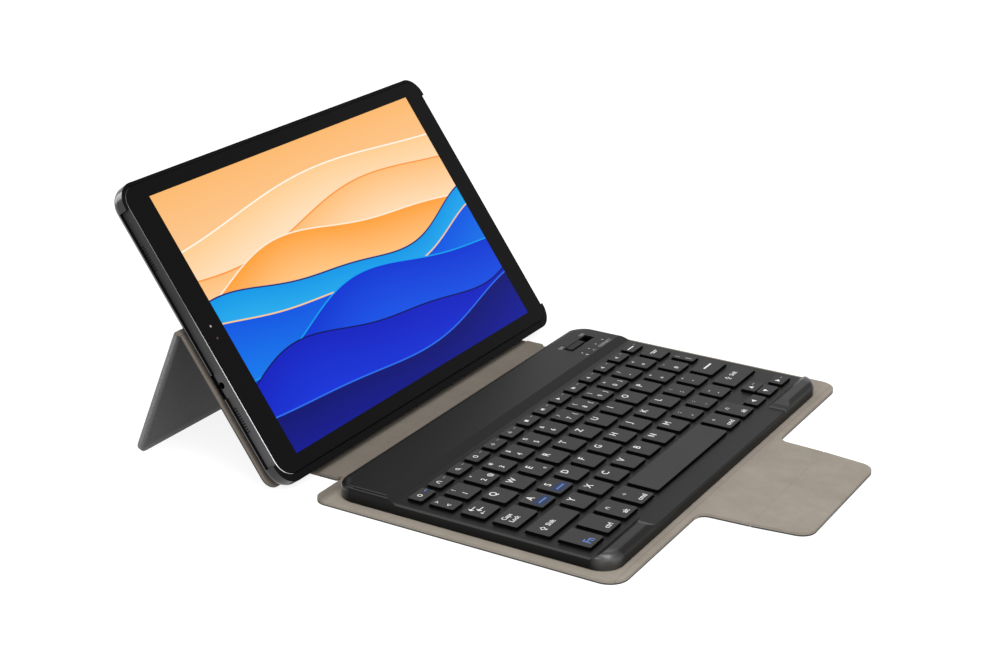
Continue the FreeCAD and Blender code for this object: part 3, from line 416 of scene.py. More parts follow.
def wave_picture(shading, across, up):
    """A warm sky over overlapping waves from peach to deep blue; both places run from -1 to 1."""
    height = shading.math("ADD", shading.math("MULTIPLY", up, 0.5), 0.5)
    picture = shading.ramp(height, colour(255, 240, 214), colour(252, 186, 112))
    for crest, swell, waves, start, line, near, far in WAVES:
        angle = shading.math("ADD", shading.math("MULTIPLY", across, waves), start)
        ripple = shading.math("SINE", shading.math("MULTIPLY", angle, RIPPLES_PER_WAVE))
        ripple = shading.math("MULTIPLY", ripple, RIPPLE_SHARE)
        level = shading.math("ADD", shading.math("SINE", angle), ripple)
        top = shading.math("ADD", shading.math("MULTIPLY", level, swell), crest)
        depth = shading.math("SUBTRACT", top, up)
        shade = shading.ramp(shading.math("MULTIPLY", depth, FADE_RATE), colour(*near), colour(*far))
        shade = shading.mix(shading.math("LESS_THAN", depth, CREST_LINE), shade, colour(*line))
        picture = shading.mix(shading.math("MULTIPLY", depth, OUTLINE_SHARPNESS, clamp=True), picture, shade)
    return picture


def screen_glass():
    """Black bordered cover glass over a lit picture."""
    material, shading, inputs = new_material("screen_glass", Base_Color=grey(9), Roughness=0.08,
                                             Specular_IOR_Level=0.04, Emission_Strength=1.0)
    place = shading.place()

    def from_middle(direction):
        low, high = extent("tablet_display", direction)
        offset = shading.math("SUBTRACT", shading.along(place, direction), (low + high) / 2)
        return shading.math("DIVIDE", offset, (high - low) / 2)

    across = from_middle(RIGHT)
    up = from_middle(UP_SCREEN)
    farther = shading.math("MAXIMUM", shading.math("ABSOLUTE", across), shading.math("ABSOLUTE", up))
    lit = shading.math("LESS_THAN", farther, 1.0)
    seen = shading.math("MULTIPLY", lit, shading.node("ShaderNodeLightPath").outputs["Is Camera Ray"])
    shading.join(shading.mix(seen, grey(0), wave_picture(shading, across, up)), inputs["Emission Color"])
    return material


def painted_light_gradient(name, low_tone, high_tone, **sockets):
    """Metal of the tablet's rim, which is darker towards its upper end: painted light and reflection, lighter
    towards its lower end.
    """
    material, shading, inputs = new_material(name, **sockets)
    share = shading.group(RIM_HEIGHT, Place=shading.place())["Share"]
    shading.join(shading.ramp(share, low_tone, high_tone), inputs["Base Color"])
    return material


# Share of its tone that the darkest parts of a paint keep
PAINT_EVENNESS = 0.88


def flat_paint(name, red, green, blue, **sockets):
    """Ink, foil or paint of one colour, a little uneven."""
    tone = colour(red, green, blue)
    darker = (*[channel * PAINT_EVENNESS for channel in tone[:3]], 1.0)
    return grained(name, darker, tone, **sockets)


def case_finish(name, gloss):
    """Black moulded plastic of the keyboard's case, with smooth front corners."""
    return grained(name, grey(10), grey(14), shines=True, Roughness=0.4, Specular_IOR_Level=gloss,
                   Coat_Roughness=0.35, Coat_IOR=1.8)


def matt_ink(name, red, green, blue):
    return flat_paint(name, red, green, blue, Roughness=0.6, Specular_IOR_Level=0.1)


SKIN = leather("grained_skin")
KICK_SKIN = leather("kick_skin", kick_border)
LINING = microfibre("lining")
FRONT_LINING = microfibre("front_lining", line=pressed_line)
HOLDER_PLASTIC = grained("holder_plastic", grey(14), grey(20), SMOOTH_PITS, SMOOTH_DEPTH, Roughness=0.18,
                         Specular_IOR_Level=0.45)
CASE_PLASTIC = case_finish("case_plastic", 0.13)
CASE_GLOSS = grained("case_gloss", grey(12), grey(17), SMOOTH_PITS, SMOOTH_DEPTH, Roughness=0.35,
                     Specular_IOR_Level=0.65)
BUMP_SHEEN = case_finish("bump_sheen", 0.26)
KEY_PLASTIC = grained("key_plastic", grey(54), grey(60), KEY_PITS, Roughness=0.6, Specular_IOR_Level=0.08)
# The keys' sides are near black: partly their own dark plastic, partly painted shade
KEY_SIDE_AND_SHADE = flat_paint("key_side_and_shade", 6, 6, 6, Roughness=0.8, Specular_IOR_Level=0.02)
# The housing's side and its left bevel have painted light and reflection, lighter towards the tablet's lower end
HOUSING = painted_light_gradient("anodised_housing", colour(84, 84, 86), colour(48, 48, 49), Roughness=0.5,
                        Specular_IOR_Level=0.2)
POLISHED = painted_light_gradient("polished_bevel", colour(225, 225, 228), colour(70, 70, 72), Roughness=0.2,
                         Metallic=1.0)
GLASS = screen_glass()
STEEL = grained("plain_steel", colour(150, 150, 152), colour(165, 165, 168), Roughness=0.35, Metallic=1.0)
BLACK = flat_paint("black_plastic", 14, 14, 14, Roughness=0.5, Specular_IOR_Level=0.15)
# Near black with hardly any reflection: painted shade on the tablet's front edges and on the holder's lower side
# and front rim
PAINTED_SHADE_RIM = flat_paint("rim_painted_shade", 10, 10, 10, Roughness=0.5, Specular_IOR_Level=0.04)
INKS = {
    "red": flat_paint("red_window", 70, 22, 24, Roughness=0.3),
    "white": matt_ink("white_ink", 226, 226, 224),
    "grey": matt_ink("grey_ink", 160, 160, 162),
    "blue": matt_ink("blue_ink", 96, 126, 188),
    "patch": matt_ink("blue_patch", 46, 58, 88),
}

SLOT_MATERIALS = {
    "skin": SKIN,
    "lining": LINING,
    "board": flat_paint("stiffener_board", 150, 132, 108, Roughness=0.9),
    "glue": flat_paint("dry_glue", 200, 194, 178, Roughness=0.5),
    "holder": HOLDER_PLASTIC,
    "housing": HOUSING,
    "glass": GLASS,
    "display": flat_paint("display_panel", 20, 24, 60, Roughness=0.3),
    "case": CASE_PLASTIC,
    "key": KEY_PLASTIC,
    "plate": STEEL,
    "membrane": flat_paint("black_silicone", 20, 20, 20, Roughness=0.7),
    "circuit": flat_paint("solder_mask", 30, 92, 56, Roughness=0.4),
    "battery": flat_paint("foil_pouch", 150, 150, 152, Roughness=0.4, Metallic=0.6),
    "switch": BLACK,
    "light": flat_paint("light_pipe", 150, 154, 158, Roughness=0.25),
    "port": STEEL,
    "magnet": STEEL,
    "screw": STEEL,
}

# Nodes in a variant of their slot's material
OTHER_MATERIALS = {"kick_skin": KICK_SKIN, "front_lining": FRONT_LINING}

BUMP_DEPTH = 12.0 * MM
LEVEL_TOLERANCE = 0.1 * MM
# Shares of a face's normal that lie along a direction
FACING = 0.9
KEY_TOP = 0.3
BEVEL = (0.15, 0.97)
GLOSS_TURN = 0.2
EDGE_LINE = (0.9, 0.97)
BUMP_END = (0.6, 0.8)


# Key faces that lean away from up, which get the near black of the sides and their painted shade
def on_key_side(face):
    return face.normal.z < KEY_TOP


def on_tablet_front(face):
    """The tablet's front edges, with their bevel, painted near black with hardly any reflection: painted shade."""
    return face.normal.dot(OUT_OF_SCREEN) > BEVEL[0]


def on_painted_highlight_bevel(face):
    """The bevel along the left edge of the tablet's front, the one side painted bright and polished: a painted
    highlight.
    """
    return BEVEL[0] < face.normal.dot(OUT_OF_SCREEN) < BEVEL[1] and face.normal.x < -BEVEL[0]


def on_holder_rim(face):
    """The holder's lower side and its front rim, painted near black with hardly any reflection: painted shade."""
    return face.normal.dot(UP_SCREEN) < -FACING or face.normal.dot(OUT_OF_SCREEN) > FACING


def on_bump_top(face):
    """The level tops of the case's front bumps."""
    low, high = CASE_BOX
    return face.center.z > high.z - LEVEL_TOLERANCE and face.center.y < low.y + BUMP_DEPTH


def shows_gloss(face):
    """A line along the case's rounded side edges, and the inner ends of its bumps."""
    side, front, up = abs(face.normal.x), -face.normal.y, face.normal.z
    sloping = any(low < up < high for low, high in (EDGE_LINE, BUMP_END))
    return side > GLOSS_TURN and front < GLOSS_TURN and sloping


def paint_faces(node, material, chosen):
    """Give another material to the faces of a node that a test picks."""
    mesh = frame["nodes"][node].data
    mesh.materials.append(material)
    for face in mesh.polygons:
        if chosen(face):
            face.material_index = len(mesh.materials) - 1


def paint_nodes():
    """Every node in the finish of its slot, and some of their faces in another one."""
    for entry in frame["record"]["subparts"]:
        mesh = frame["nodes"][entry["node"]].data
        mesh.materials.clear()
        mesh.materials.append(SLOT_MATERIALS[entry["material_slot"]])
        if entry["material_slot"] == "key":
            paint_faces(entry["node"], KEY_SIDE_AND_SHADE, on_key_side)
    for node, material in OTHER_MATERIALS.items():
        frame["nodes"][node].data.materials[0] = material
    # Painted shade on the tablet's front edges, and a painted highlight on its left bevel
    paint_faces("tablet_housing", PAINTED_SHADE_RIM, on_tablet_front)
    paint_faces("tablet_housing", POLISHED, on_painted_highlight_bevel)
    # Painted shade on the holder's lower side and front rim
    paint_faces("holder_shell", PAINTED_SHADE_RIM, on_holder_rim)
    paint_faces("keyboard_top_case", BUMP_SHEEN, on_bump_top)
    paint_faces("keyboard_top_case", CASE_GLOSS, shows_gloss)


paint_nodes()


def put(name, data):
    """A new object in the scene."""
    made = bpy.data.objects.new(name, data)
    bpy.context.scene.collection.objects.link(made)
    return made


def add_object(name, mesh, materials):
    for material in materials:
        mesh.materials.append(material)
    return put(name, mesh)


def mesh_from(shape, name):
    """A finished bmesh as a mesh."""
    mesh = bpy.data.meshes.new(name)
    shape.to_mesh(mesh)
    shape.free()
    return mesh


def mesh_of(carrier):
    """What an object shows, as a plain mesh."""
    bpy.context.view_layer.update()
    return bpy.data.meshes.new_from_object(carrier.evaluated_get(bpy.context.evaluated_depsgraph_get()))


# Soft bands have a crisp edge where their faces turn by more than this
SHARP_ANGLE = math.radians(50)


def swept_band(name, first_ends, last_ends, lined, leathered):
    """A soft band along X whose section lies between two lines of (y, z) points.

    Its left and right ends are given for the first points and for the last ones. The lining covers the
    first line and the ends, the leather the second line.
    """
    shape = bmesh.new()
    last = len(lined) - 1

    def row(start, end, line):
        return [shape.verts.new((start + (end - start) * i / last, *point)) for i, point in enumerate(line)]

    (left_in, left_out), (right_in, right_out) = (
        [row(start, end, line) for line in (lined, leathered)] for start, end in zip(first_ends, last_ends))
    for i in range(last):
        shape.faces.new((left_in[i], left_in[i + 1], right_in[i + 1], right_in[i]))
        outside = shape.faces.new((left_out[i], right_out[i], right_out[i + 1], left_out[i + 1]))
        outside.material_index = 1
        shape.faces.new((left_in[i], left_out[i], left_out[i + 1], left_in[i + 1]))
        shape.faces.new((right_in[i], right_in[i + 1], right_out[i + 1], right_out[i]))
    for i in (0, last):
        shape.faces.new((left_in[i], right_in[i], right_out[i], left_out[i]))
    bmesh.ops.recalc_face_normals(shape, faces=shape.faces)
    mesh = mesh_from(shape, name)
    mesh.polygons.foreach_set("use_smooth", [True] * len(mesh.polygons))
    mesh.set_sharp_from_angle(angle=SHARP_ANGLE)
    return add_object(name, mesh, (LINING, SKIN))


def line_between(start, end, steps):
    return [(start[0] + (end[0] - start[0]) * i / steps, start[1] + (end[1] - start[1]) * i / steps)
            for i in range(steps + 1)]


def arc(middle, radius, first, last, steps):
    """Points about a middle; angles in degrees, from +Y towards +Z."""
    angles = [math.radians(first + (last - first) * i / steps) for i in range(steps + 1)]
    return [(middle[0] + radius * math.cos(angle), middle[1] + radius * math.sin(angle)) for angle in angles]


def bend(band, node):
    """Put a band in place of the node that it covers, and hide that node."""
    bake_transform(band)
    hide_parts(node)


EDGE_TOLERANCE = 0.01 * MM


def ends_at(node, y):
    """Left and right end of a node at its front or rear edge."""
    corners = [vertex.co for vertex in frame["nodes"][node].data.vertices]
    places = [corner.x for corner in corners if abs(corner.y - y) < EDGE_TOLERANCE]
    return min(places), max(places)


FOLD_STEPS = 10
CREASE_DIP = 0.25 * MM


def flat_fold(joint, node, linings, dip, towards_front=False):
    """A soft strip flat across a fold, level with the linings beside it and a little lower in its middle."""
    low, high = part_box(node)
    start, end = (high.y, low.y) if towards_front else (low.y, high.y)
    tops = [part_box(lining)[1].z for lining in linings]
    lined = [(y, z - dip * math.sin(math.pi * i / FOLD_STEPS)) for i, (y, z) in
             enumerate(line_between((start, tops[0]), (end, tops[1]), FOLD_STEPS))]
    band = swept_band(joint, ends_at(node, start), ends_at(node, end), lined,
                      line_between((start, low.z), (end, low.z), FOLD_STEPS))
    bend(band, node)


WRAP_RADIUS = 7.1 * MM
WRAP_MIDDLE = (99.8 * MM, WRAP_RADIUS)
WRAP_FLAT_STEPS = 8
WRAP_ROUND_STEPS = 12
BAND_THICKNESS = 1.5 * MM


def back_fold():
    """The band that lies on the table behind the spine and wraps the holder's lower edge."""
    low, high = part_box("back_fold_band")

    def section(radius):
        rise = WRAP_RADIUS - radius
        flat = line_between((low.y, rise), (WRAP_MIDDLE[0], rise), WRAP_FLAT_STEPS)
        return flat[:-1] + arc(WRAP_MIDDLE, radius, -90, -SCREEN_LEAN, WRAP_ROUND_STEPS)

    lined = section(WRAP_RADIUS - BAND_THICKNESS)
    leathered = section(WRAP_RADIUS)
    ends = (low.x, high.x)
    band = swept_band("back_fold", ends, ends, lined, leathered)
    bend(band, "back_fold_band")


KICK_FOLD_INNER = 1.0 * MM
KICK_FOLD_OUTER = 3.0 * MM
KICK_FOLD_STEPS = 20


def foot_fold():
    """The band at the top of the kick panel, with the leather inside the fold."""
    low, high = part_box("kick_fold_band")
    lined, leathered = (arc((KICK_AXIS.y, KICK_AXIS.z), radius, 180 - SCREEN_LEAN, KICK_LEAN, KICK_FOLD_STEPS)
                        for radius in (KICK_FOLD_OUTER, KICK_FOLD_INNER))
    ends = (low.x, high.x)
    band = swept_band("foot_fold", ends, ends, lined, leathered)
    bend(band, "kick_fold_band")


flat_fold("cover_fold", "front_fold_band", ("front_lining", "spine_lining"), CREASE_DIP)
flat_fold("flap_fold", "flap_root_band", ("front_lining", "strip_lining"), 0.0, towards_front=True)
flat_fold("flap_tab_fold", "flap_tip_band", ("strip_lining", "tab_lining"), CREASE_DIP, towards_front=True)
back_fold()
foot_fold()


def sector(inner, outer, first=0, last=360, steps=20):
    """Part of a ring as four-sided faces, angles in degrees."""
    angles = [math.radians(first + (last - first) * i / steps) for i in range(steps + 1)]
    points = [(math.cos(angle), math.sin(angle)) for angle in angles]
    return [[(a[0] * inner, a[1] * inner), (a[0] * outer, a[1] * outer),
             (b[0] * outer, b[1] * outer), (b[0] * inner, b[1] * inner)] for a, b in zip(points, points[1:])]


def rectangle(left, low, right, high):
    return [(left, low), (right, low), (right, high), (left, high)]


def triangle(tip, base):
    """A triangle that points along X."""
    return [(base, -0.5), (base, 0.5), (tip, 0)]


def turned(faces):
    """Faces that pointed right, pointing up."""
    return [[(-y, x) for x, y in face] for face in faces]


# Small printed signs, each drawn about the middle of a square from -0.5 to 0.5; wide ones reach past it
SIGNS = {
    "ring": sector(0.32, 0.5),
    "arch": sector(0.3, 0.48, 0, 180) + [rectangle(-0.48, -0.45, -0.3, 0), rectangle(0.3, -0.45, 0.48, 0)],
    "search": sector(0.26, 0.42) + [[(0.28, -0.4), (0.4, -0.28), (0.6, -0.5), (0.5, -0.6)]],
    "square": [rectangle(-0.4, -0.4, 0.4, 0.4)],
    "sun": sector(0.0, 0.26) + [rectangle(-0.5, -0.06, 0.5, 0.06), rectangle(-0.06, -0.5, 0.06, 0.5)],
    "play": [triangle(0.5, -0.4)],
    "rewind": [triangle(-0.5, 0.0), triangle(0.0, 0.5)],
    "forward": [triangle(0.0, -0.5), triangle(0.5, 0.0)],
    "speaker": [rectangle(-0.5, -0.2, -0.2, 0.2), triangle(-0.45, 0.15)],
    "line": [rectangle(-1.3, -0.16, 1.3, 0.16)],
    "lines": [rectangle(-1.3, 0.12, 1.3, 0.34), rectangle(-0.9, -0.34, 0.9, -0.12)],
    "patch": [rectangle(-2.2, -1.1, 2.2, 1.1)],
    "left": [triangle(-0.5, 0.4)],
    "right": [triangle(0.5, -0.4)],
    "up": turned([triangle(0.5, -0.4)]),
    "down": turned([triangle(-0.5, 0.4)]),
    "shift": sector(0.28, 0.45, 0, 360, 4) + [rectangle(-0.2, -0.6, 0.2, -0.45)],
    "tab": [triangle(-0.5, -0.1), rectangle(-0.1, -0.08, 0.9, 0.08)],
}

INK_LIFT = 0.02 * MM
# Height of a capital as a share of the letters' size
CAPITAL_SHARE = 0.7
# Letters are drawn bolder by this share of their height on each side of a stroke
LETTER_WEIGHT = 0.02
LETTER_STEPS = 3


def sign_mesh(name, size):
    """A sign as a flat mesh about the origin."""
    shape = bmesh.new()
    for face in SIGNS[name]:
        shape.faces.new([shape.verts.new((x * size, y * size, 0)) for x, y in face])
    shape.normal_update()
    for face in shape.faces:
        if face.normal.z < 0:
            face.normal_flip()
    return mesh_from(shape, name)


def text_mesh(words, size):
    """Letters as a flat mesh about the origin; the size is a capital's height."""
    curve = bpy.data.curves.new("letters", "FONT")
    curve.body = words
    curve.size = size / CAPITAL_SHARE
    curve.resolution_u = LETTER_STEPS
    curve.offset = size * LETTER_WEIGHT
    curve.align_x = "CENTER"
    carrier = put("letters", curve)
    mesh = mesh_of(carrier)
    bpy.data.objects.remove(carrier)
    bpy.data.curves.remove(curve)
    mesh.transform(Matrix.Translation((0, -size / 2, 0)))
    return mesh


class Print:
    """Flat printed marks on one piece, gathered by ink."""

    def __init__(self):
        self.shapes = {}

    def mark(self, what, ink, size, x, y, z):
        """A sign or a word with its middle at a place."""
        mesh = sign_mesh(what, size) if what in SIGNS else text_mesh(what, size)
        mesh.transform(Matrix.Translation((x, y, z)))
        if ink not in self.shapes:
            self.shapes[ink] = bmesh.new()
        self.shapes[ink].from_mesh(mesh)
        bpy.data.meshes.remove(mesh)

    def finish(self, name, body):
        for ink, shape in self.shapes.items():
            made = add_object("%s_%s" % (name, ink), mesh_from(shape, name), [INKS[ink]])
            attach(made, body)


def key_spans(node):
    """Left and right side of each key of a node, from left to right: the spans that its faces cover."""
    mesh = frame["nodes"][node].data
    covered = sorted((min(xs), max(xs)) for xs in
                     ([mesh.vertices[i].co.x for i in face.vertices] for face in mesh.polygons))
    spans = []
    for left, right in covered:
        if spans and left <= spans[-1][1]:
            spans[-1][1] = max(spans[-1][1], right)
        else:
            spans.append([left, right])
    return spans


# A legend's mark is a sign or word, its ink, and its spot on the key. A spot is a size in millimetres, a
# share of the key's width from the left and a share of its depth from the rear
LETTER_SPOT = (3.6, 0.39, 0.26)
REAR_SPOT = (2.4, 0.3, 0.2)
FRONT_SPOT = (2.8, 0.33, 0.68)
THIRD_SPOT = (2.4, 0.8, 0.66)
WORD_SPOT = (2.8, 0.5, 0.8)
WORD_SIGN_SPOT = (2.2, 0.35, 0.3)
ARROW_SPOT = (3.0, 0.34, 0.5)
FUNCTION_SPOT = (2.6, 0.36, 0.5)


def letter(what):
    return [(what, "white", *LETTER_SPOT)]


def letters(row):
    return [letter(what) for what in row]


def number(low, high, third=" "):
    marks = [(high, "white", *REAR_SPOT), (low, "white", *FRONT_SPOT)]
    if third != " ":
        marks.append((third, "white", *THIRD_SPOT))
    return marks


def worded(words, sign=None):
    marks = [(words, "white", *WORD_SPOT)]
    if sign:
        marks.append((sign, "white", *WORD_SIGN_SPOT))
    return marks


def blue_label(what):
    """A letter with a blue label on the front half of its key."""
    return letter(what) + [("patch", "patch", 2.4, 0.5, 0.72), ("line", "blue", 2.6, 0.5, 0.72)]


def arrow(sign, ink, *line_spot):
    """An arrow with a short line of small print beside it."""
    return [(sign, "white", *ARROW_SPOT), ("line", ink, *line_spot)]


FUNCTION_SIGNS = ("ring", "arch", "search", "ring", "sun", "sun", "square", "rewind", "play", "forward",
                  "speaker", "speaker", "speaker", "line")
FUNCTION_LEGENDS = [[(sign, "white", *FUNCTION_SPOT), ("line", "grey", 0.9, 0.82, 0.4)]
                    for sign in FUNCTION_SIGNS]
FUNCTION_LEGENDS[0].append(("patch", "patch", 1.0, 0.8, 0.45))

LEGENDS = {
    "keys_function_row": FUNCTION_LEGENDS,
    "keys_number_row": [number(*marks)
                        for marks in zip("<1234567890-=", ">!\"#$%&/()=?+", "  @    {[]}  ")],
    "key_backspace": [[("lines", "white", 2.6, 0.5, 0.45)]],
    "key_tab": [[("tab", "white", 3.4, 0.32, 0.25), ("tab", "white", 3.4, 0.45, 0.5),
                 ("tab", "white", 2.2, 0.3, 0.72)]],
    "keys_upper_row": letters("QW") + [letter("E") + [("c", "white", 2.4, 0.68, 0.75)]] + letters("RTZUIOP")
    + [number("+", "*"), number("#", "'"), number("|", "\\")],
    "key_caps": [[("Caps", "white", 2.5, 0.34, 0.28), ("Lock", "white", 2.5, 0.34, 0.6)]],
    "keys_home_row": [blue_label("A"), blue_label("S"), letter("D") + [("line", "patch", 1.4, 0.62, 0.7)]]
    + letters("FGHJKL") + [number(";", ":"), number("'", "\"")],
    "key_enter": [[("line", "white", 3.4, 0.5, 0.45)]],
    "key_left_shift": [[("shift", "white", 3.6, 0.18, 0.5), ("Shift", "white", 2.5, 0.42, 0.5)]],
    "keys_lower_row": letters("YXCVBNM") + [number(",", ";"), number(".", ":"), number("-", "_")],
    "key_right_shift": [[("shift", "white", 3.6, 0.3, 0.4), ("Shift", "white", 2.5, 0.56, 0.4)]],
    "key_fn": [[("Fn", "blue", 4.2, 0.45, 0.76)]],
    "keys_bottom_row": [worded("ctrl"), worded("alt", "arch"), worded("cmd", "sun"), worded("cmd", "sun"),
                        worded("alt", "arch")],
    "key_left_arrow": [arrow("left", "patch", 1.6, 0.72, 0.5)],
    "key_up_arrow": [arrow("up", "grey", 1.2, 0.72, 0.4)],
    "key_down_arrow": [arrow("down", "patch", 1.6, 0.72, 0.5)],
    "key_right_arrow": [arrow("right", "grey", 1.0, 0.72, 0.5)],
}


def print_legends():
    for node, legends in LEGENDS.items():
        low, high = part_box(node)
        sheet = Print()
        for (left, right), marks in zip(key_spans(node), legends):
            for what, ink, size, across, back in marks:
                lift = INK_LIFT if ink == "patch" else 2 * INK_LIFT
                sheet.mark(what, ink, size * MM, left + (right - left) * across,
                           high.y - (high.y - low.y) * back, high.z + lift)
        sheet.finish("legend_" + node, "body_" + node)


print_legends()

LABEL_SIZE = 2.0 * MM
LABEL_GAP = 2.8 * MM
# Steps from the first indicator light to the last one, and to the word beside it
LIGHT_STEPS = 3
WORD_STEPS = 2.5


def print_case_marks():
    """Words behind the ends of the power switch's slot, and signs and a word in front of the lights."""
    low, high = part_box("switch_knob")
    travel = JOINTS["power_slide"]["range_m"][1]
    first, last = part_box("indicator_lights")
    pitch = (last.x - first.x) / LIGHT_STEPS
    behind_slot = high.y + LABEL_GAP
    before_lights = first.y - LABEL_GAP
    sheet = Print()
    for what, x, y in (("OFF", low.x, behind_slot), ("ON", high.x + travel, behind_slot),
                       ("square", first.x, before_lights), ("arch", first.x + pitch, before_lights),
                       ("CONNECT", first.x + WORD_STEPS * pitch, before_lights)):
        sheet.mark(what, "grey", LABEL_SIZE, x, y, CASE_BOX[1].z + INK_LIFT)
    sheet.finish("case_marks", "keyboard")


print_case_marks()


def hole_grid_nodes():
    """A geometry node group that lays a grid of discs."""
    tree = bpy.data.node_groups.new("hole_grid", "GeometryNodeTree")
    kinds = (("Holes", "NodeSocketInt"), ("Rows", "NodeSocketInt"), ("Length", "NodeSocketFloat"),
             ("Height", "NodeSocketFloat"), ("Radius", "NodeSocketFloat"), ("Corners", "NodeSocketInt"),
             ("Material", "NodeSocketMaterial"))
    for label, kind in kinds:
        tree.interface.new_socket(label, in_out="INPUT", socket_type=kind)
    tree.interface.new_socket("Geometry", in_out="OUTPUT", socket_type="NodeSocketGeometry")
    nodes = tree.nodes
    given = nodes.new("NodeGroupInput").outputs
    grid = nodes.new("GeometryNodeMeshGrid")
    disc = nodes.new("GeometryNodeMeshCircle")
    disc.fill_type = "NGON"
    spread = nodes.new("GeometryNodeInstanceOnPoints")
    solid = nodes.new("GeometryNodeRealizeInstances")
    coat = nodes.new("GeometryNodeSetMaterial")
    for source, target in (
            (given["Length"], grid.inputs["Size X"]), (given["Height"], grid.inputs["Size Y"]),
            (given["Holes"], grid.inputs["Vertices X"]), (given["Rows"], grid.inputs["Vertices Y"]),
            (given["Radius"], disc.inputs["Radius"]), (given["Corners"], disc.inputs["Vertices"]),
            (grid.outputs["Mesh"], spread.inputs["Points"]),
            (disc.outputs["Mesh"], spread.inputs["Instance"]),
            (spread.outputs[0], solid.inputs[0]), (solid.outputs[0], coat.inputs["Geometry"]),
            (given["Material"], coat.inputs["Material"]),
            (coat.outputs[0], nodes.new("NodeGroupOutput").inputs[0])):
        tree.links.new(source, target)
    return tree


# Sound holes in the tablet's left side, drawn as dark discs of painted shade: height of each group's middle above
# the tablet's lower edge
GRILLE_PLACES = (122.2 * MM, 34.2 * MM)
GRILLE_HOLES = 10
GRILLE_ROWS = 2
GRILLE_PITCH = 1.4 * MM
GRILLE_ROW_PITCH = 0.9 * MM
GRILLE_RISE = 3.1 * MM
GRILLE_RADIUS = 0.42 * MM
GRILLE_CORNERS = 14


def hole_grid(tree):
    """A grid of dark discs in the XY plane, its long rows along X; the discs are painted shade for the holes."""
    carrier = put("grille_source", bpy.data.meshes.new("grille_source"))
    modifier = carrier.modifiers.new("holes", "NODES")
    values = {"Holes": GRILLE_HOLES, "Rows": GRILLE_ROWS, "Length": (GRILLE_HOLES - 1) * GRILLE_PITCH,
              "Height": (GRILLE_ROWS - 1) * GRILLE_ROW_PITCH, "Radius": GRILLE_RADIUS,
              "Corners": GRILLE_CORNERS, "Material": BLACK}
    modifier.node_group = tree
    for socket in tree.interface.items_tree:
        if socket.in_out == "INPUT":
            modifier[socket.identifier] = values[socket.name]
    mesh = mesh_of(carrier)
    carrier.modifiers.remove(modifier)
    bpy.data.objects.remove(carrier)
    return mesh


def set_down(place, x, y, z):
    """A matrix that takes the origin to a place, and the three axes to three directions."""
    return Matrix.Translation(place) @ Matrix((x, y, z)).transposed().to_4x4()


TABLET_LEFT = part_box("tablet_housing")[0].x
TABLET_FOOT = extent("tablet_housing", UP_SCREEN)[0]


def on_tablet(right, up, out):
    """A place right of the tablet's left side, up from its lower edge, and out along the screen's normal."""
    return RIGHT * (TABLET_LEFT + right) + UP_SCREEN * (TABLET_FOOT + up) + OUT_OF_SCREEN * out


def side_grilles():
    """Both groups of sound holes, as dark discs of painted shade; their rows run up the screen, and the discs face
    left.
    """
    back = extent("tablet_housing", OUT_OF_SCREEN)[0]
    tree = hole_grid_nodes()
    shape = bmesh.new()
    for height in GRILLE_PLACES:
        mesh = hole_grid(tree)
        middle = on_tablet(-INK_LIFT, height, back + GRILLE_RISE)
        mesh.transform(set_down(middle, UP_SCREEN, OUT_OF_SCREEN, -RIGHT))
        shape.from_mesh(mesh)
    grilles = add_object("side_grilles", mesh_from(shape, "side_grilles"), [BLACK])
    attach(grilles, "tablet")


side_grilles()

# Front camera and light sensor: height above the tablet's lower edge, and ink
SENSORS = ((80.4 * MM, "grey"), (73.9 * MM, "red"))
SENSOR_INSET = 8.0 * MM
SENSOR_RADIUS = 0.6 * MM
SENSOR_CORNERS = 24


def front_sensors():
    """Small round windows in the glass's left border."""
    front = extent("tablet_glass", OUT_OF_SCREEN)[1] + INK_LIFT
    for i, (height, ink) in enumerate(SENSORS):
        shape = bmesh.new()
        bmesh.ops.create_circle(shape, cap_ends=True, segments=SENSOR_CORNERS, radius=SENSOR_RADIUS)
        mesh = mesh_from(shape, "sensor")
        middle = on_tablet(SENSOR_INSET, height, front)
        mesh.transform(set_down(middle, RIGHT, UP_SCREEN, OUT_OF_SCREEN))
        sensor = add_object("sensor_%d" % i, mesh, [INKS[ink]])
        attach(sensor, "tablet")


front_sensors()

CAMERA_PLACE = Vector((-799.91, -404.53, 406.87)) * MM
CAMERA_TARGET = Vector((0, 53.27, 49.0)) * MM
CAMERA_ROLL = math.radians(0.86)
# Lens and sensor in millimetres, as the camera's own settings are
CAMERA_LENS = 69.98
CAMERA_SENSOR = 36.0


def make_camera():
    back = (CAMERA_PLACE - CAMERA_TARGET).normalized()
    level = Vector((0, 0, 1)).cross(back).normalized()
    upright = back.cross(level)
    right = level * math.cos(CAMERA_ROLL) + upright * math.sin(CAMERA_ROLL)
    up = upright * math.cos(CAMERA_ROLL) - level * math.sin(CAMERA_ROLL)
    data = bpy.data.cameras.new("camera")
    data.lens = CAMERA_LENS
    data.sensor_width = CAMERA_SENSOR
    camera = put("camera", data)
    camera.matrix_world = set_down(CAMERA_PLACE, right, up, back)
    bpy.context.scene.camera = camera


# Each lamp's place, aim, width and power in watts
LAMPS = {
    "high_softbox": ((-0.5, -0.3, 1.6), (0, 0.05, 0.05), 1.2, 10.0),
    "side_softbox": ((-1.5, -0.1, 0.6), (0, 0.08, 0.05), 0.7, 6.0),
    "front_softbox": ((-0.55, -0.95, 1.2), (0, 0, 0.02), 0.6, 6.0),
    "low_softbox": ((-0.85, -1.25, 0.5), (0, 0, 0.02), 0.4, 2.2),
    "rear_softbox": ((-0.2, 1.8, 0.4), (0, 0.1, 0.1), 0.8, 7.0),
}


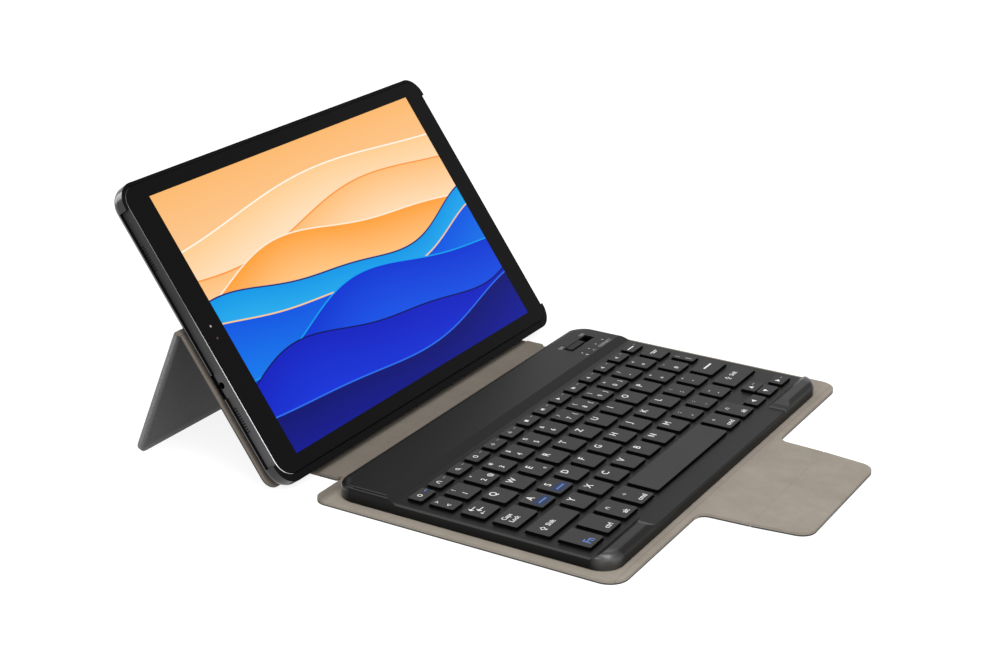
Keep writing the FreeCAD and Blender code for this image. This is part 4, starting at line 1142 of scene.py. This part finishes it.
def make_lamp(name, place, aim, width, power):
    data = bpy.data.lights.new(name, "AREA")
    data.shape = "DISK"
    data.size = width
    data.energy = power
    lamp = put(name, data)
    lamp.location = place
    lamp.rotation_euler = (Vector(aim) - Vector(place)).to_track_quat("-Z", "Y").to_euler()


def seen_directly(shading):
    """1 for what the camera sees, also in a mirror or through glass, and 0 for what only gives light."""
    path = shading.node("ShaderNodeLightPath").outputs
    mirrored = shading.math("MAXIMUM", path["Is Glossy Ray"], path["Is Transmission Ray"])
    return shading.math("MAXIMUM", path["Is Camera Ray"], mirrored)


WORLD_LIGHT = 0.7


def make_world():
    """Soft even light all round, and plain white where it is seen."""
    world = bpy.data.worlds.new("studio")
    bpy.context.scene.world = world
    world.use_nodes = True
    shading = Shading(world.node_tree)
    background = world.node_tree.nodes["Background"]
    background.inputs["Color"].default_value = (1, 1, 1, 1)
    more = shading.math("MULTIPLY", seen_directly(shading), 1.0 - WORLD_LIGHT)
    shading.join(shading.math("ADD", more, WORLD_LIGHT), background.inputs["Strength"])


FLOOR_REACH = 6.0
FLOOR_DROP = 0.2 * MM
FLOOR_TONE = 0.3
FLOOR_GLOW = 0.85
FLOOR_BOUNCE = 0.2


def make_floor():
    """A white table that keeps a faint shadow."""
    mesh = bpy.data.meshes.new("floor")
    outline = rectangle(-FLOOR_REACH, -FLOOR_REACH, FLOOR_REACH, FLOOR_REACH)
    mesh.from_pydata([(x, y, -FLOOR_DROP) for x, y in outline], [], [(0, 1, 2, 3)])
    material, shading, inputs = new_material("floor", Base_Color=(*[FLOOR_TONE] * 3, 1), Roughness=0.9,
                                             Specular_IOR_Level=0.0, Emission_Strength=1.0)
    glow = shading.mix(seen_directly(shading), (*[FLOOR_BOUNCE] * 3, 1), (*[FLOOR_GLOW] * 3, 1))
    shading.join(glow, inputs["Emission Color"])
    add_object("floor", mesh, [material])


make_camera()
make_world()
for lamp_name, settings in LAMPS.items():
    make_lamp(lamp_name, *settings)
make_floor()
bpy.context.scene.view_settings.view_transform = "Standard"
